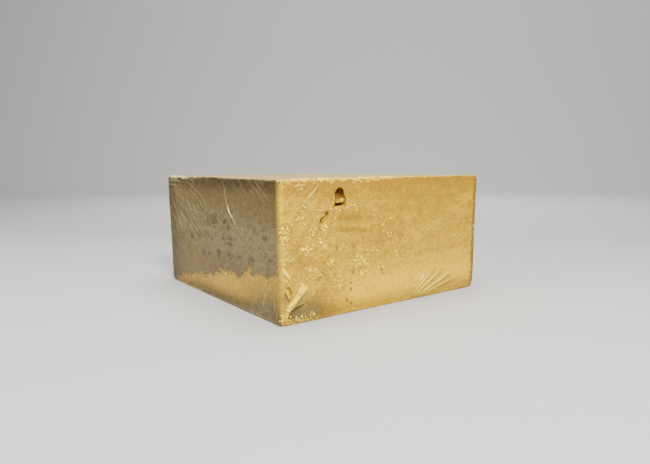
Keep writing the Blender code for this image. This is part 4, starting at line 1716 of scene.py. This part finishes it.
@dataclass
class FilmWrap:
    """The cling film: a clear skin just off the cheese, with its folds."""

    cell: float = 2.2 * MM
    outset: float = 0.30 * MM
    wide: float = 2.4 * MM
    close: float = 1.3 * MM
    closest: float = 0.68 * MM
    narrow_crease: float = 1.15 * MM
    slack: float = 0.10 * MM
    heel_folds: int = 22
    top_folds: int = 9
    seed: int = 31
    veil_foot: tuple[Spot, ...] = route(
        (0.0, 29.0), (5.0, 27.0), (8.0, 24.6), (14.0, 23.6), (21.6, 23.8), (26.0, 25.0), (30.0, 23.4),
        (33.5, 25.4), (39.0, 20.4), (45.0, 18.9), (51.0, 20.0), (56.0, 19.4), (62.5, 20.2), (70.0, 17.6),
        (78.6, 14.2), (91.8, 12.8), (108.0, 10.2), (130.4, 5.8), (142.7, 1.4), (150.0, 0.0),
    )
    fan: tuple[tuple[Spot, Spot, float, float], ...] = (
        ((92.0, 1.4), (109, 14.4), 0.9, 0.5), ((93.0, 1.6), (114.1, 18.6), 1.7, 0.9),
        ((94.0, 1.5), (118.0, 17.6), 0.8, 0.4), ((95.0, 1.5), (121.2, 16.8), 1.9, 1.0),
        ((96.0, 1.3), (126.4, 15.2), 0.9, 0.4), ((97.0, 1.2), (129.9, 13.0), 1.8, 1.0),
        ((98.0, 1.1), (131.6, 10.8), 0.8, 0.35), ((99.0, 1.0), (132.6, 8.6), 1.6, 0.8),
        ((100.0, 0.8), (128.0, 4.4), 1.0, 0.5), ((84.0, 1.0), (100.0, 13.0), 0.9, 0.3),
        ((88.0, 1.0), (103.0, 11.0), 0.8, 0.3), ((120.0, 20.0), (133.0, 24.0), 0.9, 0.2),
    )
    edges: tuple[tuple[Spot, Spot, float, float], ...] = (
        ((152.2, 3.0), (136, 1.6), 1.0, 0.5), ((152, 6), (141, 6.0), 1.0, 0.4),
        ((152, 9), (145, 12), 0.9, 0.35), ((151, 73), (130, 74), 0.9, 0.3),
        ((134, 1.2), (96, 0.9), 0.8, 0.3), ((96, 1.0), (30, 0.9), 0.7, 0.25),
    )
    gathered: tuple[tuple[Spot, Spot, float, float], ...] = (
        ((148.5, 73.4), (116, 73.9), 0.9, 0.5), ((148, 71.4), (124, 71.2), 0.7, 0.3),
        ((148, 69), (130, 67.6), 0.6, 0.2), ((118, 74.3), (88, 74.0), 0.8, 0.35),
        ((139, 74.6), (143, 70), 0.8, 0.35), ((146, 1.0), (70, 0.9), 0.7, 0.25),
        ((72, 1.0), (4, 0.9), 0.7, 0.25), ((133, 74.6), (137, 69), 0.7, 0.3),
    )
    pulled: tuple[tuple[Spot, Spot], ...] = (
        ((116.7, 72.7), (86.0, 61.2)), ((138.0, 61.0), (107.5, 38.7)), ((144.8, 64.1), (126.2, 44.5)),
        ((130.6, 65.6), (94.7, 47.3)), ((124.4, 60.8), (89.8, 38.2)), ((113.1, 66.3), (88.6, 52.5)),
        ((136.6, 53.2), (112.3, 32.3)), ((126.2, 44.5), (91.0, 23.6)), ((130.5, 66.4), (110.1, 55.0)),
        ((29.3, 74.6), (11.4, 61.6)), ((22.6, 73.9), (7.6, 63.7)), ((51.0, 61.6), (46.0, 55.0)),
    )
    patches: tuple[Blot, ...] = (
        Blot(77.9, 48.8, 8.0, 3.8), Blot(58.3, 47.5, 5.0, 3.8), Blot(58.1, 38.7, 7.0, 3.4, 0.2),
        Blot(86.0, 38.6, 4.0, 2.4), Blot(79.5, 39.3, 2.0, 3.2), Blot(92.6, 26.6, 3.2, 2.6),
        Blot(69.6, 29.0, 3.2, 3.2), Blot(83.1, 27.9, 2.6, 1.5), Blot(29.7, 30.3, 6.5, 2.5),
        Blot(10.8, 34.5, 4.0, 2.4), Blot(102.8, 44.9, 4.2, 2.0), Blot(97.6, 37.3, 3.6, 3.6),
        Blot(55.3, 30.2, 5.8, 1.7), Blot(99.7, 58.1, 4.2, 2.8), Blot(42.1, 30.3, 2.6, 1.6),
        Blot(14.4, 43.9, 3.4, 2.7), Blot(109.8, 36.0, 4.4, 2.0), Blot(94.1, 54.5, 5.0, 2.0),
        Blot(72.3, 53.0, 3.6, 1.4),
    )
    nets: tuple[Blot, ...] = (
        Blot(16, 36, 22, 14), Blot(60, 42, 45, 18, 0.0, 0.8), Blot(24, 8, 26, 9, 0.0, 0.7),
        Blot(90, 10, 40, 8, 0.0, 0.3),
    )
    # film haze over the torn point, partly painted shade low down beside it
    hazes_and_shade: tuple[Blot, ...] = (
        Blot(18, 8, 7, 5, 0.2, 0.34), Blot(12.4, 13.0, 3.8, 2.0, 0.85, 0.80),
        Blot(146, 3, 5, 2.5, 0.0, 0.22), Blot(20, 4, 12, 2.5, 0.0, 0.24), Blot(9, 5, 5, 2.6, 0.0, 0.36),
        Blot(3.0, 14, 1.8, 5, 0.0, 0.34),
    )

    def creases(self) -> list[Crease]:
        """Say where the film is folded."""
        return self.right_creases() + self.left_creases() + self.hidden_creases()

    def right_creases(self) -> list[Crease]:
        """Give the folds on the right cut: a fan low down near the heel, and a bent one by the point.

        Returns:
            The creases.
        """
        folds = [ray(Side.RIGHT, a, b, w, 1.3 * h, 0.3, 1.0 * h) for a, b, w, h in self.fan]
        # painted shade in the dip beside each tall fold of the fan
        folds += [
            ray(Side.RIGHT, (a[0] + 1.0, a[1] - 0.3), (b[0] + 2.4, b[1] - 1.9), 1.3, -0.1, 0.3, -0.8)
            for a, b, _, h in self.fan if h > 0.6
        ]
        # painted highlight: a bright glint across the fan
        folds.append(ray(Side.RIGHT, (100.4, 11.0), (107.2, 16.4), 1.1, 1.1, 0.2, 2.4))
        folds.append(ray(Side.RIGHT, (24.6, 72.0), (13.7, 61.8), 0.6, 0.5, 0.0, 2.0))
        folds.append(ray(Side.RIGHT, (13.7, 62.3), (17.3, 58.9), 0.8, 0.4, 0.0, 1.9))
        folds.append(ray(Side.RIGHT, (17.3, 58.9), (31.5, 58.0), 0.6, 0.25, 0.3, 1.2))
        folds.append(ray(Side.RIGHT, (14.6, 19.4), (2.0, 3.4), 5.0, 0.45))
        # painted highlight along the lower rim of the torn flake
        rim = route(
            (15.5, 16.6), (15.1, 14.4), (14.3, 13.4), (14.9, 11.7), (14.2, 10.6), (12.6, 10.1), (10.8, 10.4),
            (9.0, 9.6),
        )
        folds.append(Crease(Side.RIGHT, rim, 0.7 * MM, 0.35 * MM, 0.62))
        return folds + [ray(Side.RIGHT, a, b, w, h, 0.3, 0.3) for a, b, w, h in self.edges]

    def left_creases(self) -> list[Crease]:
        """Give the folds on the left cut: a long arc, gathers at the far top corner and pulls.

        Returns:
            The creases.
        """
        arc = route(
            (62.8, 74.6), (60.6, 71.3), (59.5, 68.5), (58.2, 62.8), (56.5, 59.3), (54.6, 55.8), (50.2, 51.9),
            (46.5, 48.7), (40.7, 44.3), (38.0, 41.6),
        )
        folds = [
            Crease(Side.LEFT, arc, 0.5 * MM, 0.35 * MM, 0.26),
            Crease(Side.LEFT, arc[4:8], 0.6 * MM, 0.5 * MM, 1.8),
        ]
        folds += [ray(Side.LEFT, a, b, w, h, -0.4, 0.25) for a, b, w, h in self.gathered]
        folds += [ray(Side.LEFT, a, b, 0.7, 0.20, 0.5, 0.10) for a, b in self.pulled]
        # a milk below 0 gives a line of painted shade beside the milky ones
        for milk, spots in (
            (0.42, ((7.3, 25.2), (12.4, 22.3), (16.5, 18.1), (17.9, 15.1))),
            (-1.0, ((6.6, 24.6), (11.6, 21.2), (15.4, 17.2), (16.9, 14.1))),
            (0.35, ((5.5, 23.9), (11.2, 19.1), (16.0, 12.8), (18.1, 7.5))),
            (-0.7, ((10.4, 18.2), (15.0, 12.0), (17.0, 7.0))),
            (0.20, ((4.3, 19.2), (5.7, 12.2), (6.5, 5.4))),
            (0.15, ((8.6, 22.3), (13.8, 18.0))),
            (0.15, ((3.0, 18.0), (3.6, 10.0), (3.8, 3.1))),
        ):
            folds.append(Crease(Side.LEFT, route(*spots), 0.8 * MM, 0.25 * MM, milk))
        return folds

    def hidden_creases(self) -> list[Crease]:
        """Give the gathers over the heel and the pulls on the top.

        Returns:
            The creases.
        """
        draw = random.Random(self.seed)
        folds = []
        for number in range(self.heel_folds):
            turn = 0.03 + 0.94 * (number + draw.uniform(-0.3, 0.3)) / self.heel_folds
            low = draw.uniform(2, 8)
            high = draw.uniform(24, 66)
            lean = draw.uniform(-0.03, 0.03)
            line = tuple(((turn + lean * k / 5), (low + (high - low) * k / 5) * MM) for k in range(6))
            folds.append(Crease(Side.HEEL, line, draw.uniform(1.2, 1.8) * MM, draw.uniform(0.4, 0.9) * MM))
        for number in range(self.top_folds):
            turn = 0.06 + 0.88 * number / (self.top_folds - 1)
            spread = draw.uniform(0.05, 0.14) * draw.choice((-1, 1))
            start = 0.985 - (0.035 * number) % 0.2
            line = tuple((turn + spread * k / 5, start - 0.10 * k / 5) for k in range(6))
            folds.append(Crease(Side.TOP, line, draw.uniform(1.2, 1.6) * MM, draw.uniform(0.25, 0.5) * MM))
        return folds

    def build(self) -> bpy.types.Object:
        """Make the film.

        Returns:
            The object, its mesh in the frame.
        """
        film = Blank(WHEEL, self.cell, self.outset).build("film")
        lines = [(crease, self.dense_route(crease)) for crease in self.creases()]
        every = np.concatenate([line for _, line in lines])
        shown = [(crease, line) for crease, line in lines if crease.side in (Side.LEFT, Side.RIGHT)]
        near = np.concatenate([line for _, line in shown])
        narrow = np.concatenate([line for crease, line in shown if crease.width < self.narrow_crease])
        subdivide_where(film, self.on_left)
        subdivide_where(film, lambda spots: (self.distance(spots, every) < self.wide) & ~self.on_left(spots))
        subdivide_where(film, lambda spots: self.distance(spots, near) < self.close)
        subdivide_where(film, lambda spots: self.distance(spots, narrow) < self.closest)
        self.fold(film, lines)
        self.mark(film)
        film.data.materials.clear()
        film.data.materials.append(FilmFinish().material(WHEEL))
        activate(film)
        bpy.ops.object.shade_smooth()
        return film

    @staticmethod
    def on_left(spots: Array) -> Array:
        """Tell which places lie on the left cut."""
        return WHEEL.runs(spots)[1] < 0.3 * MM

    def mark(self, film: bpy.types.Object) -> None:
        """Keep on the mesh where the film is hazy or touches the cheese, and where the veil starts.

        Args:
            film: the film.
        """
        points = read_points(film)
        run_left, run_right, _ = WHEEL.runs(points)
        up = points[:, 2]
        line = np.array(self.veil_foot)
        paint(film, "above", up - np.interp(run_left, line[:, 0], line[:, 1]))
        contact = np.full(len(points), -1.0)
        for spot in self.patches:
            contact = np.maximum(contact, np.clip(1.15 - spot.reach(run_left, up), -1, 1))
        busy = Blot(62, 38, 60, 16).soft(run_left, up)
        paint(film, "contact", np.maximum(contact, 0.32 * busy - 0.42))
        tan = Blot(104, 21, 26, 13, 0.0, 0.55).soft(run_left, up)
        paint(film, "tan", np.clip(tan, 0, 1))
        pale = (Blot(85, 25, 62, 6, 0.0, 0.15), Blot(116, 14, 38, 7, 0.0, 0.22))
        paint(film, "pale", sum(patch.soft(run_left, up) for patch in pale))
        left = smooth((1.5 * MM - run_right) / MM)
        net = sum(patch.soft(run_left, up) for patch in self.nets) + 0.12
        paint(film, "net", left * np.clip(net, 0, 1))
        tight = (Blot(122, 52, 34, 26, 0.0, 0.34), Blot(22, 70, 22, 10, 0.0, 0.13))
        drawn = left * sum(patch.soft(run_left, up) for patch in tight)
        drawn += smooth((1.5 * MM - run_left) / MM) * Blot(122, 46, 38, 30, 0.0, 0.22).soft(run_right, up)
        paint(film, "pull", drawn)
        # milky haze near the point; the dark haze along the foot of the left cut is painted shade
        cloud = left * (
            Blot(12, 5, 22, 13, 0.0, 0.78).soft(run_left, up) * smooth(run_left / (4.5 * MM))
            + Blot(66, 0, 90, 5.0, 0.0, 0.74).soft(run_left, up)
        )
        right = smooth((1.5 * MM - run_left) / MM)
        cloud = cloud + right * sum(haze.soft(run_right, up) for haze in self.hazes_and_shade)
        paint(film, "cloud", np.clip(cloud, 0, 0.78))

    @staticmethod
    def dense_route(crease: Crease) -> Array:
        """Give close places along a crease.

        Args:
            crease: the crease.

        Returns:
            Places in the frame, one row each.
        """
        places = np.array(crease.route)
        count = len(places)
        fine = np.linspace(0, count - 1, count * 14)
        along = np.interp(fine, np.arange(count), places[:, 0])
        up = np.interp(fine, np.arange(count), places[:, 1])
        return WHEEL.place(crease.side, along, up, 0.0)

    @staticmethod
    def distance(spots: Array, line: Array) -> Array:
        """Give each place's distance to the nearest place of a line.

        Args:
            spots: places, one row each.
            line: close places of the line.

        Returns:
            A distance for each place.
        """
        tree = kdtree.KDTree(len(line))
        for number, place in enumerate(line):
            tree.insert(place, number)
        tree.balance()
        return np.array([tree.find(spot)[2] for spot in spots])

    def fold(self, film: bpy.types.Object, lines: Sequence[tuple[Crease, Array]]) -> None:
        """Raise the folds, tapered at both ends.

        Args:
            film: the film.
            lines: the creases with their close places.
        """
        points = read_points(film)
        normals = read_normals(film)
        lift = np.zeros(len(points))
        milk_and_highlight = np.zeros(len(points))
        valley_shade = np.zeros(len(points))
        for crease, line in lines:
            low = line.min(axis=0) - 3 * crease.width
            high = line.max(axis=0) + 3 * crease.width
            near = np.flatnonzero(((points > low) & (points < high)).all(axis=1))
            if len(near) == 0:
                continue
            gaps = np.linalg.norm(points[near][:, None, :] - line[None, :, :], axis=2)
            which = gaps.argmin(axis=1)
            gap = gaps[np.arange(len(near)), which]
            taper = np.sin(math.pi * (which + 0.5) / len(line)) ** 0.5
            ridge = np.exp(-((gap / (0.42 * crease.width)) ** 1.4))
            lift[near] = np.maximum(lift[near], crease.height * taper * ridge)
            sharp = np.exp(-((gap / (0.45 * min(crease.width, 1.8 * MM))) ** 2))
            broken = smooth(0.85 + 1.3 * fractal(line, 4 * MM, 3, 6.0))[which] if crease.milk > 1 else 1.0
            # painted shade along the dip beside a fold
            if crease.milk < 0:
                valley_shade[near] = np.maximum(valley_shade[near], -crease.milk * taper * sharp)
            else:
                milk_and_highlight[near] = np.maximum(milk_and_highlight[near], crease.milk * taper * sharp * broken)
        slack = self.slack * np.clip(fractal(points, 12 * MM, 3, 21.0), -0.5, 1)
        points += normals * (lift + slack * smooth(points[:, 2] / (3 * MM)))[:, None]
        points[:, 2] = np.maximum(points[:, 2], 0.0)
        write_points(film, points)
        paint(film, "crease", np.clip(np.maximum(milk_and_highlight, self.edge_milk_and_highlight(points)), 0, 1))
        paint(film, "valley_shade", valley_shade)

    @staticmethod
    def edge_milk_and_highlight(points: Array) -> Array:
        """Give how milky the film is where it is drawn over the edges of the wedge, painted bright there as a
        highlight.

        Args:
            points: places on the film, one row each.

        Returns:
            A share from 0 to 1 for each.
        """
        run_left, run_right, gap = WHEEL.runs(points)
        up = points[:, 2]
        cut = np.minimum(abs(run_left), abs(run_right))
        lip = np.minimum(np.minimum(abs(up), abs(WHEEL.height - up)), abs(gap))
        near = np.exp(-((np.hypot(cut, lip) / (0.9 * MM)) ** 2))
        patchy = smooth(0.5 + 1.3 * fractal(points, 9 * MM, 3, 4.0))
        bare = (run_right < 1.5 * MM) & (run_left > 2 * MM) & (run_left < 100 * MM)
        patchy = np.where(bare, 0.15 * patchy, patchy)
        bunch = np.exp(-(((run_left - 132 * MM) / (24 * MM)) ** 2)) * np.exp(-((run_right / (5 * MM)) ** 2))
        bunch = bunch * smooth((up - 72.2 * MM) / (2 * MM))
        bunch = bunch * smooth(0.5 + 1.6 * fractal(points, 5 * MM, 4, 14.0))
        return np.maximum(0.75 * near * patchy, 0.55 * bunch)


@dataclass
class Studio:
    """Floor, lights and camera."""

    lens: float = 29.62
    shift: float = 0.043
    eye: tuple[float, ...] = mm(61.4, -257.7, 83.2)
    heading: tuple[float, float] = (-0.148, 0.989)
    pitch: float = math.radians(10.33)
    roll: float = math.radians(0.34)
    floor_radius: float = 1.3
    floor_curve: float = 0.9
    floor_turns: int = 12
    daylight: float = 0.33
    wedge_middle: tuple[float, ...] = (0.0, 0.0, 0.035)
    backdrop_middle: tuple[float, ...] = (0.0, 2.2, 0.35)

    def build(self) -> None:
        """Make the whole studio."""
        self.floor()
        self.camera()
        for lamp in (
            ("key", mm(330, -620, 600), 0.22, 22.0, (1.0, 0.97, 0.93), self.wedge_middle),
            ("top", mm(60, 90, 800), 0.60, 12.8, (1.0, 0.98, 0.95), self.wedge_middle),
            ("fill", mm(-620, -420, 300), 0.80, 11.2, (1.0, 0.98, 0.96), self.wedge_middle),
            ("backdrop", (0.0, 0.7, 1.0), 1.2, 36.0, (1.0, 0.99, 0.98), self.backdrop_middle),
        ):
            self.lamp(*lamp)
        world = bpy.data.worlds.new("studio")
        bpy.context.scene.world = world
        world.use_nodes = True
        back = world.node_tree.nodes["Background"]
        back.inputs["Color"].default_value = (1.0, 1.0, 1.0, 1.0)
        back.inputs["Strength"].default_value = self.daylight

    def floor(self) -> None:
        """Make the plain pale floor, which curves up into a backdrop all round."""
        select_none()
        bpy.ops.mesh.primitive_circle_add(vertices=96, radius=self.floor_radius, fill_type="NGON")
        floor = bpy.context.active_object
        floor.name = "floor"
        bpy.ops.object.mode_set(mode="EDIT")
        bpy.ops.mesh.select_mode(type="EDGE")
        bpy.ops.mesh.select_all(action="SELECT")
        turn = math.pi / 2 / self.floor_turns
        stride = self.floor_curve * turn
        for step in range(self.floor_turns):
            angle = turn * (step + 0.5)
            rise = stride * math.sin(angle)
            bpy.ops.mesh.extrude_edges_move(TRANSFORM_OT_translate={"value": (0, 0, rise)})
            reach = self.floor_radius + self.floor_curve * math.sin(turn * step)
            grown = 1 + stride * math.cos(angle) / reach
            bpy.ops.transform.resize(value=(grown, grown, 1), center_override=(0, 0, 0))
        bpy.ops.object.mode_set(mode="OBJECT")
        bpy.ops.object.shade_smooth()
        desk = Desk("studio_floor")
        pale = (0.335, 0.332, 0.322, 1)
        shader = desk.node("ShaderNodeBsdfPrincipled", {"Base Color": pale, "Roughness": 0.8})
        floor.data.materials.append(desk.finish(shader.outputs[0]))

    def camera(self) -> None:
        """Stand the camera where the photograph's stood."""
        data = bpy.data.cameras.new("camera")
        data.lens = self.lens
        data.shift_y = self.shift
        data.clip_start = 0.01
        camera = bpy.data.objects.new("camera", data)
        bpy.context.scene.collection.objects.link(camera)
        camera.location = Vector(self.eye) + Vector(WHEEL.origin)
        level = Vector((*self.heading, 0.0)).normalized()
        look = level * math.cos(self.pitch) - Vector((0, 0, math.sin(self.pitch)))
        turn = look.to_track_quat("-Z", "Y").to_euler()
        camera.rotation_euler = turn
        camera.rotation_euler.rotate_axis("Z", -self.roll)
        bpy.context.scene.camera = camera

    @staticmethod
    def lamp(
        name: str, place: Sequence[float], size: float, power: float, colour: Colour, aim: Sequence[float]
    ) -> None:
        """Hang one soft lamp.

        Args:
            name: the lamp's name.
            place: where it hangs.
            size: how wide it is.
            power: watts.
            colour: colour of its light.
            aim: the place it looks at.
        """
        data = bpy.data.lights.new(name, "AREA")
        data.shape = "DISK"
        data.size = size
        data.energy = power
        data.color = colour
        lamp = bpy.data.objects.new(name, data)
        bpy.context.scene.collection.objects.link(lamp)
        lamp.location = place
        look = Vector(aim) - Vector(place)
        lamp.rotation_euler = look.to_track_quat("-Z", "Y").to_euler()


def attach(piece: bpy.types.Object) -> None:
    """Let a piece ride on the solid it stands for.

    Args:
        piece: the object.
    """
    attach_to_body(piece, BODY)
    triangles = sum(len(face.vertices) - 2 for face in piece.data.polygons)
    log.info("%s: %d triangles", piece.name, triangles)


def main() -> None:
    """Build the pieces in order and put them on the frame."""
    logging.basicConfig(level=logging.INFO, format="%(name)s %(message)s")
    cheese = Cheese().build()
    attach(cheese)
    crumbs = Crumbs().build()
    attach(crumbs)
    film = FilmWrap().build()
    attach(film)
    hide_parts(NODE)
    Studio().build()


if __name__ == "__main__":
    main()
